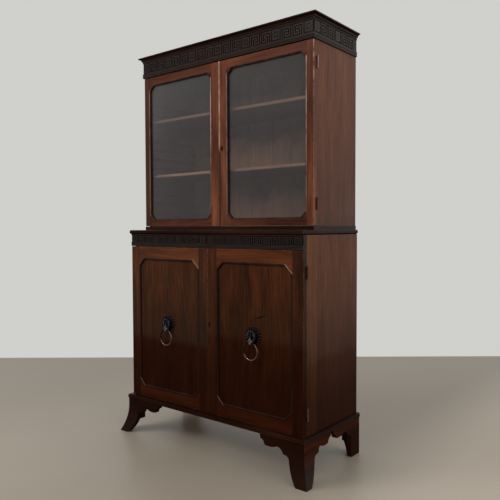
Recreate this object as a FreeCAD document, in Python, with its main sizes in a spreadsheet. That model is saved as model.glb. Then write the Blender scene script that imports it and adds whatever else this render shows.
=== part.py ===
import FreeCAD, Part
import Sketcher
import math
import os
from FreeCAD import Placement, Rotation, Vector

# Bookcase with glass doors: a glazed upper case on a deeper cupboard with splayed bracket feet.
# The frame stands on the floor at z = 0, +X is the viewer's right, and the back is at +Y.

doc = FreeCAD.newDocument("Bookcase")
sheet = doc.addObject("Spreadsheet::Sheet", "Sizes")

# Driving dimensions in millimetres. A "depth" is measured forward from the plane of the back.
DRIVING = {
    # lower case
    "foot_height": 163,
    "lower_half_width": 508,
    "lower_depth": 402,
    "lower_case_height": 814,
    "lower_side_thickness": 20,
    "lower_board_thickness": 18,
    "lower_top_thickness": 20,
    "lower_top_side_overhang": 4,
    "lower_top_front_overhang": 34.6,
    "lower_shelf_level": 520,
    "lower_frieze_height": 58,
    "lower_frieze_thickness": 21,
    "lower_fret_backing": 3,
    "lower_reed_pitch": 5,
    "fret_joint_gap": 0.5,
    # base moulding and feet
    "base_height": 18,
    "base_side_projection": 18.4,
    "base_front_projection": 45.2,
    "base_low_bead": 9,
    "base_high_bead": 6,
    "foot_inset": 4,
    "foot_flare": 31,
    "foot_curve_height": 130,
    "foot_thickness": 22,
    "front_bracket_length": 217,
    "side_bracket_length": 200,
    "rear_bracket_length": 222,
    "back_bracket_length": 130,
    "foot_block": 34,
    "foot_block_level": 60,
    "bracket_scroll": 100,
    # upper case
    "upper_case_inset": 9,
    "upper_depth": 318,
    "upper_case_height": 837,
    "upper_side_thickness": 18,
    "upper_board_thickness": 17,
    "upper_frieze_height": 82,
    "upper_frieze_front": 30,
    "upper_frieze_return": 5.7,
    "upper_reed_pitch": 5.2,
    "upper_plinth_front": 23.6,
    "upper_plinth_return": 2.5,
    "dust_board_thickness": 10,
    "cornice_height": 16,
    "cornice_projection": 16,
    "cornice_lip": 5,
    "cornice_cove": 10,
    "back_board_thickness": 10,
    "back_board_width": 107,
    "back_board_groove": 1.5,
    # blind fret
    "fret_relief": 3,
    "fret_end_margin": 6,
    "fret_head_gap": 3,
    # shelves
    "shelf_thickness": 14,
    "shelf_setback": 6,
    "shelf_nosing": 4,
    "groove_depth": 4,
    "groove_pitch": 45,
    "groove_first": 1123,
    "groove_fit": 0.3,
    # doors
    "door_gap": 0.6,
    "door_reveal": 2,
    "meeting_gap": 1,
    "upper_meeting_offset": 4,
    "upper_door_thickness": 22,
    "upper_hinge_stile": 32,
    "upper_meeting_stile": 45,
    "upper_top_rail": 34,
    "upper_bottom_rail": 26,
    "upper_cant": 28,
    "lower_door_thickness": 22.4,
    "lower_stile": 53,
    "lower_top_rail": 55,
    "lower_bottom_rail": 51,
    "lower_cant": 34,
    "panel_recess": 4,
    "panel_thickness": 14,
    "panel_moulding_width": 9,
    "panel_moulding_proud": 2,
    "panel_moulding_slope": 2.5,
    "sash_width": 8,
    "sash_proud": 1.5,
    "sash_depth": 9,
    "sash_round": 4,
    "glass_thickness": 3,
    "glass_fit": 0.3,
    "bead_depth": 7,
    "bead_slope": 4,
    "astragal_width": 8,
    "astragal_rise": 3,
    # butt hinges
    "hinge_height": 50,
    "hinge_inset": 62,
    "hinge_leaf_width": 15,
    "hinge_leaf_thickness": 1.6,
    "hinge_knuckle_radius": 4,
    "hinge_pin_radius": 1.6,
    "hinge_running_fit": 0.05,
    "hinge_joint_gap": 0.3,
    # locks and slide bolts
    "upper_keyhole_level": 1368,
    "lower_keyhole_level": 586,
    "keyhole_setback": 17.5,
    "lower_keyhole_setback": 9,
    "keyhole_radius": 2.4,
    "keyhole_slot": 9,
    "escutcheon_width": 13,
    "escutcheon_height": 23,
    "escutcheon_thickness": 1.5,
    "lock_width": 34,
    "lock_height": 52,
    "lock_thickness": 10,
    "lock_bolt_height": 11,
    "lock_bolt_thickness": 5,
    "lock_bolt_length": 22,
    "lock_edge": 1,
    "slide_fit": 0.3,
    "bolt_plate_height": 56,
    "bolt_plate_width": 20,
    "bolt_plate_thickness": 1.6,
    "bolt_staple_height": 8,
    "bolt_width": 8,
    "bolt_thickness": 5,
    "bolt_length": 52,
    "bolt_setback": 14,
    "bolt_edge_gap": 3,
    "bolt_knob_radius": 4,
    "bolt_knob_length": 9,
    "bolt_hole_depth": 13,
    "bolt_hole_fit": 0.6,
    # lion-mask pulls
    "mask_level": 558,
    "mask_offset": 254,
    "mask_radius": 31.5,
    "mane_lock": 5,
    "mane_rise": 8,
    "mane_slope": 3,
    "head_half_width": 24,
    "head_half_height": 27,
    "head_rise": 19,
    "ear_radius": 6.5,
    "muzzle_half_width": 11.5,
    "muzzle_depth": 8.5,
    "muzzle_slope": 2,
    "mouth_room": 2.1,
    "ring_pivot_reach": 19,
    "ring_pivot_drop": 28,
    "ring_radius": 36.7,
    "ring_wire": 3.3,
    "ring_fit": 0.3,
}

FRET_REPEATS = 6          # fret repeats along the upper frieze
RETURN_REPEATS = 2        # fret repeats along each upper return
STRIP_REPEATS = 3         # fret repeats along each half of the lower frieze
SHELF_GROOVES = 12        # pairs of shelf grooves in the upper sides
SHELVES_AT = (3, 9)       # the grooves, counted from the lowest, that hold the two shelves
MANE_LOCKS = 11           # locks of the mane round each mask
RING_SIDES = 24           # straight lengths that make up a pull ring
WIRE_SIDES = 8            # sides of a pull ring's section
BARREL_SIDES = 12         # sides of a hinge's barrel
KNOB_SIDES = 8            # sides of a slide bolt's knob


class Size:
    """A length, with the spreadsheet expression that gives it."""

    def __init__(self, value, text):
        self.value = float(value)
        self.text = text

    def join(self, sign, other, value, swap=False):
        left, right = (other.text, self.text) if swap else (self.text, other.text)
        return Size(value, "(" + left + " " + sign + " " + right + ")")

    def __add__(self, other):
        other = as_size(other)
        return self.join("+", other, self.value + other.value)

    def __sub__(self, other):
        other = as_size(other)
        return self.join("-", other, self.value - other.value)

    def __rsub__(self, other):
        other = as_size(other)
        return self.join("-", other, other.value - self.value, swap=True)

    def __mul__(self, other):
        other = as_size(other)
        return self.join("*", other, self.value * other.value)

    def __truediv__(self, other):
        other = as_size(other)
        return self.join("/", other, self.value / other.value)

    def __neg__(self):
        return Size(-self.value, "(0 - " + self.text + ")")

    __radd__ = __add__
    __rmul__ = __mul__


def as_size(value):
    """A plain number becomes a Size, so that both can be mixed in a formula."""
    if isinstance(value, Size):
        return value
    return Size(value, repr(float(value)))


class Sizes:
    """The driving dimensions by name."""


S = Sizes()
for row, (alias, number) in enumerate(DRIVING.items(), start=1):
    sheet.set("A%d" % row, alias)
    sheet.set("B%d" % row, str(number))
    sheet.setAlias("B%d" % row, alias)
    setattr(S, alias, Size(number, "Sizes." + alias))
doc.recompute()

# ---------------------------------------------------------------- places worked out from the sizes

BACK = (S.lower_depth + S.base_front_projection - S.foot_inset + S.foot_flare) / 2


def forward(depth):
    """The y of a plane that stands `depth` in front of the back."""
    return BACK - depth


lower_front = forward(S.lower_depth)
upper_front = forward(S.upper_depth)
lower_top_under = S.foot_height + S.lower_case_height
upper_floor = lower_top_under + S.lower_top_thickness
upper_roof = upper_floor + S.upper_case_height
upper_frieze_low = upper_roof - S.upper_frieze_height
upper_plinth_top = upper_floor + S.upper_board_thickness
lower_frieze_low = lower_top_under - S.lower_frieze_height
base_top = S.foot_height + S.base_height
lower_inner = S.lower_half_width - S.lower_side_thickness
upper_half_width = S.lower_half_width - S.upper_case_inset
upper_inner = upper_half_width - S.upper_side_thickness
back_face = BACK - S.back_board_thickness

parts = []


def publish(item, label):
    """Names a finished sub-part and puts it on the list of those that are written."""
    item.Label = label
    parts.append(item)
    return item


def bind(item, path, size):
    item.setExpression(path, as_size(size).text)


# ---------------------------------------------------------------- sketches and features

class Bend:
    """The radius of the arc that leads to an outline's next point; side is +1 to bulge to the left."""

    def __init__(self, radius, side):
        self.radius = as_size(radius)
        self.side = side


class Disc:
    """A round outline."""

    def __init__(self, u, v, radius):
        self.centre = (as_size(u), as_size(v))
        self.radius = as_size(radius)


def origin_feature(body, role):
    for feature in body.Origin.OriginFeatures:
        if feature.Role == role:
            return feature
    raise ValueError(role)


def arc_middle(start, end, radius, side):
    """The middle point of the shorter arc of `radius` from start to end."""
    chord = end.sub(start)
    half = chord.Length / 2
    rise = radius - math.sqrt(max(radius * radius - half * half, 0))
    left = Vector(-chord.y, chord.x, 0).normalize()
    return (start + end) * 0.5 + left * (side * rise)


def add_rule(sketch, size, *terms):
    """A dimension of a sketch, driven by the spreadsheet."""
    rule = sketch.addConstraint(Sketcher.Constraint(*terms, as_size(size).value))
    bind(sketch, "Constraints[%d]" % rule, size)


def add_disc(sketch, disc):
    u, v = disc.centre
    index = sketch.addGeometry(Part.Circle(Vector(u.value, v.value, 0), Vector(0, 0, 1), disc.radius.value))
    add_rule(sketch, disc.radius, "Radius", index)
    add_rule(sketch, u, "DistanceX", index, 3)
    add_rule(sketch, v, "DistanceY", index, 3)


def add_loop(sketch, loop):
    """Adds one closed outline: points are pairs of sizes, with a Bend before the end of an arc."""
    points = [item for item in loop if not isinstance(item, Bend)]
    bends = {}
    for place, item in enumerate(loop):
        if isinstance(item, Bend):
            bends[sum(not isinstance(entry, Bend) for entry in loop[:place]) % len(points)] = item
    flat = [Vector(as_size(u).value, as_size(v).value, 0) for u, v in points]
    ends = []
    for number in range(len(points)):
        start = flat[number]
        end = flat[(number + 1) % len(points)]
        bend = bends.get((number + 1) % len(points))
        if bend is None:
            index = sketch.addGeometry(Part.LineSegment(start, end))
            ends.append((index, 1, 2))
            continue
        middle = arc_middle(start, end, bend.radius.value, bend.side)
        index = sketch.addGeometry(Part.Arc(start, middle, end))
        first, last = (sketch.getPoint(index, position).distanceToPoint(start) for position in (1, 2))
        ends.append((index, 1, 2) if first < last else (index, 2, 1))
        add_rule(sketch, bend.radius, "Radius", index)
    for number, (index, first, last) in enumerate(ends):
        follower = ends[(number + 1) % len(ends)]
        sketch.addConstraint(Sketcher.Constraint("Coincident", index, last, follower[0], follower[1]))
        for kind, size in zip(("DistanceX", "DistanceY"), points[number]):
            add_rule(sketch, size, kind, index, first)


NORMAL_SIGN = {"XY_Plane": 1, "XZ_Plane": -1, "YZ_Plane": 1}


def sketch_on(body, plane, at, loops):
    """A sketch on one of the body's own origin planes, moved along that plane's normal to `at`."""
    sketch = body.newObject("Sketcher::SketchObject", "Sketch")
    sketch.AttachmentSupport = (origin_feature(body, plane), [""])
    sketch.MapMode = "FlatFace"
    bind(sketch, "AttachmentOffset.Base.z", as_size(at) * NORMAL_SIGN[plane])
    for loop in loops:
        if isinstance(loop, Disc):
            add_disc(sketch, loop)
        else:
            add_loop(sketch, loop)
    return sketch


def new_body(name):
    return doc.addObject("PartDesign::Body", name)


def pad(body, plane, at, loops, length, reverse=False):
    """Pads the outlines along the plane's normal, or against it when reversed."""
    feature = body.newObject("PartDesign::Pad", "Pad")
    feature.Profile = sketch_on(body, plane, at, loops)
    feature.Reversed = reverse
    bind(feature, "Length", length)
    doc.recompute()
    return feature


def pocket(body, plane, at, loops, length=None, reverse=False):
    """Cuts the outlines against the plane's normal, or along it when reversed; no length cuts through."""
    before = body.Shape.Volume
    feature = body.newObject("PartDesign::Pocket", "Pocket")
    feature.Profile = sketch_on(body, plane, at, loops)
    feature.Reversed = reverse
    if length is None:
        feature.Type = "ThroughAll"
    else:
        bind(feature, "Length", length)
    doc.recompute()
    if not body.Shape.Volume < before:
        raise RuntimeError(body.Name + ": a pocket cut nothing")
    return feature


def repeat(body, feature, axis, step, count):
    """Repeats a feature along one of the body's own axes."""
    pattern = body.newObject("PartDesign::LinearPattern", "LinearPattern")
    pattern.Originals = [feature]
    pattern.Direction = (origin_feature(body, axis), [""])
    pattern.Mode = "Spacing"
    bind(pattern, "Offset", step)
    pattern.Occurrences = count
    body.Tip = pattern
    doc.recompute()
    return pattern


def edges_where(body, test):
    """The names of the body's edges whose end points all pass the test."""
    names = []
    for number, edge in enumerate(body.Shape.Edges, start=1):
        if all(test(vertex.Point) for vertex in edge.Vertexes):
            names.append("Edge%d" % number)
    return names


def soften(body, kind, size, edges):
    """Rounds (Fillet) or slopes (Chamfer) the named edges of the body's last feature."""
    tip = body.Tip
    feature = body.newObject("PartDesign::" + kind, kind)
    feature.Base = (tip, edges)
    bind(feature, "Radius" if kind == "Fillet" else "Size", size)
    doc.recompute()
    return feature


def ease(body, kind, size, test):
    """Softens the edges whose end points all pass the test."""
    return soften(body, kind, size, edges_where(body, test))


def near(value, size):
    return abs(value - as_size(size).value) < 0.01


def rectangle(u_low, u_high, v_low, v_high):
    return [(u_low, v_low), (u_high, v_low), (u_high, v_high), (u_low, v_high)]


def polygon(u, v, radius, sides):
    """A regular outline with its first corner half a step past the top, so that it has a level top side."""
    points = []
    for number in range(sides):
        angle = -2 * math.pi * (number + 0.5) / sides
        points.append((u + radius * math.sin(angle), v + radius * math.cos(angle)))
    return points


def slab(name, xs, ys, zs):
    """A board between two x, two y and two z places."""
    body = new_body(name)
    pad(body, "XY_Plane", zs[0], [rectangle(xs[0], xs[1], ys[0], ys[1])], zs[1] - zs[0])
    return body


FORWARDS = Rotation(Vector(1, 0, 0), 90)      # turns a primitive's own Z axis to the front


def primitive(kind, sizes, centre, turn=Rotation()):
    """A Part primitive with its own sizes and its place bound to the spreadsheet."""
    item = doc.addObject("Part::" + kind, kind)
    item.Placement.Rotation = turn
    for path, size in sizes.items():
        bind(item, path, size)
    for axis, size in zip("xyz", centre):
        bind(item, "Placement.Base." + axis, size)
    return item


def mirror(item, label):
    """The left-hand twin of a right-hand sub-part."""
    twin = doc.addObject("Part::Mirroring", label)
    twin.Source = item
    twin.Base = Vector(0, 0, 0)
    twin.Normal = Vector(1, 0, 0)
    doc.recompute()
    return publish(twin, label)


def group(items, label):
    """Several separate solids that share one node."""
    compound = doc.addObject("Part::Compound", label)
    compound.Links = items
    doc.recompute()
    return publish(compound, label)


def flipped(points):
    """An outline mirrored across x = 0."""
    turned = []
    for item in points:
        turned.append(Bend(item.radius, -item.side) if isinstance(item, Bend) else (-item[0], item[1]))
    return turned


# ---------------------------------------------------------------- case boards

def hinge_levels(door_low, door_high):
    """The lower ends of a door's two hinges."""
    return [door_low + S.hinge_inset, door_high - S.hinge_inset - S.hinge_height]


upper_door_low = upper_plinth_top + S.door_reveal
upper_door_high = upper_frieze_low - S.door_reveal
lower_door_low = base_top + S.door_reveal
lower_door_high = lower_frieze_low - S.door_reveal
upper_hinges = hinge_levels(upper_door_low, upper_door_high)
lower_hinges = hinge_levels(lower_door_low, lower_door_high)


def side_board(name, half_width, thickness, front, z_low, z_high, hinges):
    """The right-hand side of a case, with hinge mortises in its front edge."""
    body = new_body(name)
    outline = rectangle(front, BACK, z_low, z_high)
    pad(body, "YZ_Plane", half_width - thickness, [outline], thickness)
    mortises = []
    for level in hinges:
        mortises.append(rectangle(front - 1, front + S.hinge_leaf_thickness, level, level + S.hinge_height))
    pocket(body, "YZ_Plane", half_width + 1, mortises, S.hinge_leaf_width + 1)
    return body


def shelf_groove(body, inner, front, level):
    """One housing for a shelf's end in the inner face of a side."""
    low = level - S.groove_fit
    high = level + S.shelf_thickness + S.groove_fit
    outline = rectangle(front + S.shelf_setback - S.groove_fit, back_face, low, high)
    return pocket(body, "YZ_Plane", inner, [outline], S.groove_depth, reverse=True)


upper_side = side_board("upper_side_right", upper_half_width, S.upper_side_thickness, upper_front,
                        upper_floor, upper_roof, upper_hinges)
first_groove = shelf_groove(upper_side, upper_inner, upper_front, S.groove_first)
repeat(upper_side, first_groove, "Z_Axis", S.groove_pitch, SHELF_GROOVES)
publish(upper_side, "upper_side_right")
mirror(upper_side, "upper_side_left")

lower_side = side_board("lower_side_right", S.lower_half_width, S.lower_side_thickness, lower_front,
                        S.foot_height, lower_top_under, lower_hinges)
shelf_groove(lower_side, lower_inner, lower_front, S.lower_shelf_level)
publish(lower_side, "lower_side_right")
mirror(lower_side, "lower_side_left")


def shelf(label, half_inner, front, level):
    """A shelf with a rounded front edge, its ends housed in the sides, lying on the grooves' floors."""
    half = half_inner + S.groove_depth - S.groove_fit
    low = level - S.groove_fit
    body = slab(label, (-half, half), (front + S.shelf_setback, back_face), (low, low + S.shelf_thickness))
    edge = front + S.shelf_setback
    long_edges = [name for name in edges_where(body, lambda point: near(point.y, edge))
                  if body.Shape.getElement(name).Length > S.shelf_thickness.value * 2]
    soften(body, "Fillet", S.shelf_nosing, long_edges)
    return publish(body, label)


for label, count in zip(("upper_shelf_low", "upper_shelf_high"), SHELVES_AT):
    shelf(label, upper_inner, upper_front, S.groove_first + S.groove_pitch * count)
shelf("lower_shelf", lower_inner, lower_front, S.lower_shelf_level)

# The left doors' slide bolts shoot into these places, counted from the meeting edge of the door.
upper_meeting_left = -(S.upper_meeting_offset + S.meeting_gap / 2)
upper_meeting_right = -(S.upper_meeting_offset - S.meeting_gap / 2)
lower_meeting_left = -(S.meeting_gap / 2)
lower_meeting_right = S.meeting_gap / 2


def bolt_hole(body, meeting, front, z_at, downwards):
    """A hole for a slide bolt in the face of a board at z_at."""
    middle = meeting - S.bolt_setback
    near_side = front + S.bolt_plate_thickness + S.slide_fit - S.door_gap
    outline = rectangle(middle - S.bolt_width / 2 - S.bolt_hole_fit, middle + S.bolt_width / 2 + S.bolt_hole_fit,
                        near_side - S.bolt_hole_fit, near_side + S.bolt_thickness + S.bolt_hole_fit)
    pocket(body, "XY_Plane", z_at, [outline], S.bolt_hole_depth, reverse=not downwards)


upper_bottom = slab("upper_bottom_board", (-upper_inner, upper_inner), (upper_front, back_face),
                    (upper_floor, upper_plinth_top))
bolt_hole(upper_bottom, upper_meeting_left, upper_front, upper_plinth_top, True)
publish(upper_bottom, "upper_bottom_board")

upper_top = slab("upper_top_board", (-upper_inner, upper_inner), (upper_front, back_face),
                 (upper_frieze_low, upper_frieze_low + S.upper_board_thickness))
bolt_hole(upper_top, upper_meeting_left, upper_front, upper_frieze_low, False)
publish(upper_top, "upper_top_board")

lower_bottom = slab("lower_bottom_board", (-lower_inner, lower_inner), (lower_front, back_face),
                    (S.foot_height, S.foot_height + S.lower_board_thickness))
bolt_hole(lower_bottom, lower_meeting_left, lower_front, S.foot_height + S.lower_board_thickness, True)
publish(lower_bottom, "lower_bottom_board")

dust_board = slab("dust_board", (-upper_half_width, upper_half_width), (upper_front, BACK),
                  (upper_roof, upper_roof + S.dust_board_thickness))
publish(dust_board, "dust_board")

top_half = S.lower_half_width + S.lower_top_side_overhang
top_edge = lower_front - S.lower_top_front_overhang
lower_top = slab("lower_top_board", (-top_half, top_half), (top_edge, BACK), (lower_top_under, upper_floor))


def on_moulded_edge(point):
    """The front and both ends of the lower top board are moulded, its back edge is square."""
    return near(point.y, top_edge) or near(abs(point.x), top_half)


ease(lower_top, "Fillet", S.lower_top_thickness * 0.3,
     lambda point: near(point.z, upper_floor) and on_moulded_edge(point))
ease(lower_top, "Chamfer", S.lower_top_thickness * 0.3,
     lambda point: near(point.z, lower_top_under) and on_moulded_edge(point))
publish(lower_top, "lower_top_board")


def back_boards(label, half_inner, z_low, z_high):
    """Upright boards between the sides, with a V groove down each joint."""
    count = max(1, round(2 * half_inner.value / S.back_board_width.value))
    width = 2 * half_inner.value / count
    thickness = S.back_board_thickness.value
    groove = S.back_board_groove.value
    outline = [Vector(0, thickness, 0), Vector(0, groove, 0), Vector(groove, 0, 0),
               Vector(width - groove, 0, 0), Vector(width, groove, 0), Vector(width, thickness, 0)]
    profile = Part.Face(Part.makePolygon(outline + outline[:1]))
    board = profile.extrude(Vector(0, 0, (z_high - z_low).value))
    boards = []
    for number in range(count):
        copy = board.copy()
        copy.translate(Vector(number * width - half_inner.value, 0, 0))
        boards.append(copy)
    feature = doc.addObject("Part::Feature", label)
    feature.Shape = Part.makeCompound(boards)
    feature.Placement = Placement(Vector(0, back_face.value, z_low.value), Rotation())
    return publish(feature, label)


back_boards("upper_back_boards", upper_inner, upper_floor, upper_roof)
back_boards("lower_back_boards", lower_inner, S.foot_height, lower_top_under)

# ---------------------------------------------------------------- mouldings and friezes

class Moulding:
    """A moulding across the front and down both sides of a case, mitred at the corners.

    profile gives the outer contour from the bottom up, as (inset from the outermost face, height).
    """

    def __init__(self, half, front, side_reach, front_reach, z_low, height, profile):
        self.half = half
        self.front = front
        self.side_reach = side_reach
        self.tip_y = front - front_reach
        self.tip_x = half + side_reach
        self.z_low = z_low
        self.height = height
        self.profile = profile

    def contour(self, tip, direction):
        """The profile's points, measured inwards from the outermost face."""
        points = []
        for item in self.profile:
            points.append(item if isinstance(item, Bend) else (tip + direction * item[0], self.z_low + item[1]))
        return points

    def front_run(self, name, decorate=None):
        body = new_body(name)
        bends_reversed = self.contour(self.tip_y, 1)
        outline = bends_reversed + [(self.front, self.z_low + self.height), (self.front, self.z_low)]
        pad(body, "YZ_Plane", -self.tip_x, [outline], self.tip_x * 2)
        if decorate:
            decorate(body)
        waste = [(self.half, self.tip_y + self.side_reach), (self.tip_x + 1, self.tip_y - 1),
                 (self.tip_x + 1, self.front + 1), (self.half, self.front + 1)]
        pocket(body, "XY_Plane", self.z_low + self.height + 1, [waste, flipped(waste)])
        return body

    def side_run(self, name, decorate=None):
        """The right-hand return, which dies on the plane of the back."""
        body = new_body(name)
        mirrored = []
        for item in self.contour(self.tip_x, -1):
            mirrored.append(Bend(item.radius, -item.side) if isinstance(item, Bend) else item)
        outline = mirrored + [(self.half, self.z_low + self.height), (self.half, self.z_low)]
        pad(body, "XZ_Plane", self.tip_y, [outline], BACK - self.tip_y, reverse=True)
        if decorate:
            decorate(body)
        waste = [(self.half - 1, self.tip_y - 1), (self.tip_x + 1, self.tip_y - 1),
                 (self.half - 1, self.tip_y + self.side_reach + 1)]
        pocket(body, "XY_Plane", self.z_low + self.height + 1, [waste])
        return body

    def runs(self, label):
        """Front and both returns as one node."""
        front = self.front_run(label + "_front")
        right = self.side_run(label + "_right")
        left = doc.addObject("Part::Mirroring", label + "_left")
        left.Source = right
        left.Normal = Vector(1, 0, 0)
        doc.recompute()
        return group([front, right, left], label)


def reeds(inset, low, pitch, count):
    """A row of reeds, one above another, whose crowns reach the outermost face."""
    radius = (pitch * pitch / 4 + inset * inset) / (inset * 2)
    points = [(inset, low)]
    for number in range(count):
        points += [Bend(radius, 1), (inset, low + pitch * (number + 1))]
    return points


def base_profile():
    """Two beads with a quirk between them, under a small fillet."""
    quirk = S.base_low_bead + 1
    low = reeds(S.base_low_bead * 0.4, as_size(0), S.base_low_bead, 1)
    high = [item if isinstance(item, Bend) else (item[0] + 1, item[1])
            for item in reeds(S.base_high_bead * 0.4, quirk, S.base_high_bead, 1)]
    fillet = S.base_high_bead * 0.4 + 2.5
    return low + high + [(fillet, quirk + S.base_high_bead), (fillet, S.base_height)]


base = Moulding(S.lower_half_width, lower_front, S.base_side_projection, S.base_front_projection,
                S.foot_height, S.base_height, base_profile())
base.runs("base_moulding")


def cornice_profile():
    """A cove between a small foot and an upright lip."""
    foot = S.cornice_height - S.cornice_lip - S.cornice_cove
    inset = S.cornice_cove + 2
    return [(inset, as_size(0)), (inset, foot), Bend(S.cornice_cove * 1.02, -1),
            (as_size(2), foot + S.cornice_cove), (as_size(0), foot + S.cornice_cove), (as_size(0), S.cornice_height)]


cornice = Moulding(upper_half_width, upper_front, S.upper_frieze_return + S.cornice_projection,
                   S.upper_frieze_front + S.cornice_projection, upper_roof, S.cornice_height, cornice_profile())
cornice.runs("cornice_moulding")

plinth_round = S.upper_plinth_return * 0.8
plinth = Moulding(upper_half_width, upper_front, S.upper_plinth_return, S.upper_plinth_front, upper_floor,
                  S.upper_board_thickness,
                  [(as_size(0), as_size(0)), (as_size(0), S.upper_board_thickness - plinth_round),
                   Bend(plinth_round * 1.02, 1), (plinth_round, S.upper_board_thickness)])
plinth.runs("upper_plinth_moulding")


# The blind fret: a key, a post and the key reversed stand between square tablets. Each is laid out in
# bars; the key's line runs through these turns, in bars from its own lower left corner.
KEY_TURNS = [(0, 0), (0, 8), (8, 8), (8, 2), (4, 2), (4, 4), (6, 4), (6, 6), (2, 6), (2, 0)]
TABLET_BARS = 7
KEY_BARS = 9
REPEAT_BARS = TABLET_BARS + 2 * KEY_BARS + 1 + 4


def thick_line(turns):
    """The outline, one bar wide, of a line that turns square corners."""
    def walk(path):
        edge = []
        for number, (u, v) in enumerate(path):
            before = path[number - 1] if number else None
            after = path[number + 1] if number + 1 < len(path) else None
            shift_u, shift_v = 0, 0
            for start, end in ((before, (u, v)), ((u, v), after)):
                if start is None or end is None:
                    continue
                if start[0] == end[0]:
                    shift_u = -0.5 if end[1] > start[1] else 0.5
                else:
                    shift_v = 0.5 if end[0] > start[0] else -0.5
            edge.append((u + shift_u, v + shift_v))
        return edge
    return walk(turns) + walk(turns[::-1])


def fret_unit(u_start, bar_u, v_foot, bar_v, sign=1):
    """The outlines of one repeat: tablet, key, post, reversed key. v_foot is the top of the fret's sill."""
    loops = []

    def place(points):
        loops.append([(u_start + bar_u * (sign * u), v_foot + bar_v * v) for u, v in points])

    place([(0, 1), (TABLET_BARS, 1), (TABLET_BARS, 8), (0, 8)])
    key = [(u + 0.5, v - 0.5 if v > 0 else 0) for u, v in thick_line(KEY_TURNS)]
    first = TABLET_BARS + 1
    post = first + KEY_BARS + 1
    last = post + 2
    place([(first + u, v) for u, v in key])
    place([(post, 0), (post + 1, 0), (post + 1, 8), (post, 8)])
    place([(last + KEY_BARS - u, v) for u, v in key[::-1]])
    return loops


def end_tablet(u_start, bar_u, v_foot, bar_v):
    """The tablet that closes a run of fret."""
    return [rectangle(u_start, u_start + bar_u * TABLET_BARS, v_foot + bar_v, v_foot + bar_v * 8)]


def frieze_profile(height, pitch, low_reeds, high_reeds, bar_v):
    """Reeds, the fret's sill, the sunk field and the reeds above it."""
    inset = pitch * 0.22
    sill = pitch * low_reeds
    field_top = height - pitch * high_reeds
    none = as_size(0)
    return (reeds(inset, none, pitch, low_reeds) + [(none, sill), (none, sill + bar_v)]
            + [(S.fret_relief, sill + bar_v), (S.fret_relief, field_top)] + reeds(inset, field_top, pitch, high_reeds))


upper_bar_v = (S.upper_frieze_height - S.upper_reed_pitch * 5 - S.fret_head_gap) / 9
upper_tip = upper_half_width + S.upper_frieze_return
upper_bar_u = (upper_tip * 2 - S.fret_end_margin * 2) / (FRET_REPEATS * REPEAT_BARS + TABLET_BARS)
upper_sill = upper_frieze_low + S.upper_reed_pitch * 3 + upper_bar_v
frieze = Moulding(upper_half_width, upper_front, S.upper_frieze_return, S.upper_frieze_front,
                  upper_frieze_low, S.upper_frieze_height,
                  frieze_profile(S.upper_frieze_height, S.upper_reed_pitch, 3, 2, upper_bar_v))


def fret_front(body):
    start = -upper_tip + S.fret_end_margin
    field = frieze.tip_y + S.fret_relief
    unit = pad(body, "XZ_Plane", field, fret_unit(start, upper_bar_u, upper_sill, upper_bar_v), S.fret_relief)
    repeat(body, unit, "X_Axis", upper_bar_u * REPEAT_BARS, FRET_REPEATS)
    last = start + upper_bar_u * (REPEAT_BARS * FRET_REPEATS)
    pad(body, "XZ_Plane", field, end_tablet(last, upper_bar_u, upper_sill, upper_bar_v), S.fret_relief)


def fret_return(body):
    start = frieze.tip_y + S.fret_end_margin
    field = frieze.tip_x - S.fret_relief
    unit = pad(body, "YZ_Plane", field, fret_unit(start, upper_bar_u, upper_sill, upper_bar_v), S.fret_relief)
    repeat(body, unit, "Y_Axis", upper_bar_u * REPEAT_BARS, RETURN_REPEATS)


publish(frieze.front_run("upper_frieze_front", fret_front), "upper_frieze_front")
upper_return = publish(frieze.side_run("upper_frieze_right", fret_return), "upper_frieze_right")
mirror(upper_return, "upper_frieze_left")

# The lower frieze: a rail across the case, faced with two lengths of fret that meet in the middle.
rail_front = lower_front - S.lower_frieze_thickness
frieze_rail = slab("lower_frieze_rail", (-S.lower_half_width, S.lower_half_width), (rail_front, lower_front),
                   (lower_frieze_low, lower_top_under))
publish(frieze_rail, "lower_frieze_rail")

strip_tip = rail_front - S.lower_fret_backing - S.fret_relief
strip_start = S.fret_joint_gap / 2
lower_bar_v = (S.lower_frieze_height - S.lower_reed_pitch * 4 - S.fret_head_gap) / 9
lower_bar_u = ((S.lower_half_width - strip_start - S.fret_end_margin * 2)
               / (STRIP_REPEATS * REPEAT_BARS + TABLET_BARS))


def fret_strip(name):
    """The right-hand length of the lower frieze's fret."""
    body = new_body(name)
    profile = frieze_profile(S.lower_frieze_height, S.lower_reed_pitch, 3, 1, lower_bar_v)
    outline = []
    for item in profile:
        outline.append(item if isinstance(item, Bend) else (strip_tip + item[0], lower_frieze_low + item[1]))
    outline += [(rail_front, lower_top_under), (rail_front, lower_frieze_low)]
    pad(body, "YZ_Plane", strip_start, [outline], S.lower_half_width - strip_start)
    sill = lower_frieze_low + S.lower_reed_pitch * 3 + lower_bar_v
    field = strip_tip + S.fret_relief
    start = strip_start + S.fret_end_margin
    unit = pad(body, "XZ_Plane", field, fret_unit(start, lower_bar_u, sill, lower_bar_v), S.fret_relief)
    repeat(body, unit, "X_Axis", lower_bar_u * REPEAT_BARS, STRIP_REPEATS)
    last = start + lower_bar_u * (REPEAT_BARS * STRIP_REPEATS)
    pad(body, "XZ_Plane", field, end_tablet(last, lower_bar_u, sill, lower_bar_v), S.fret_relief)
    return body


strip_right = fret_strip("lower_fret_right")
strip_left = doc.addObject("Part::Mirroring", "lower_fret_left")
strip_left.Source = strip_right
strip_left.Normal = Vector(1, 0, 0)
doc.recompute()
group([strip_right, strip_left], "lower_fret_strips")

# ---------------------------------------------------------------- bracket feet

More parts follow.
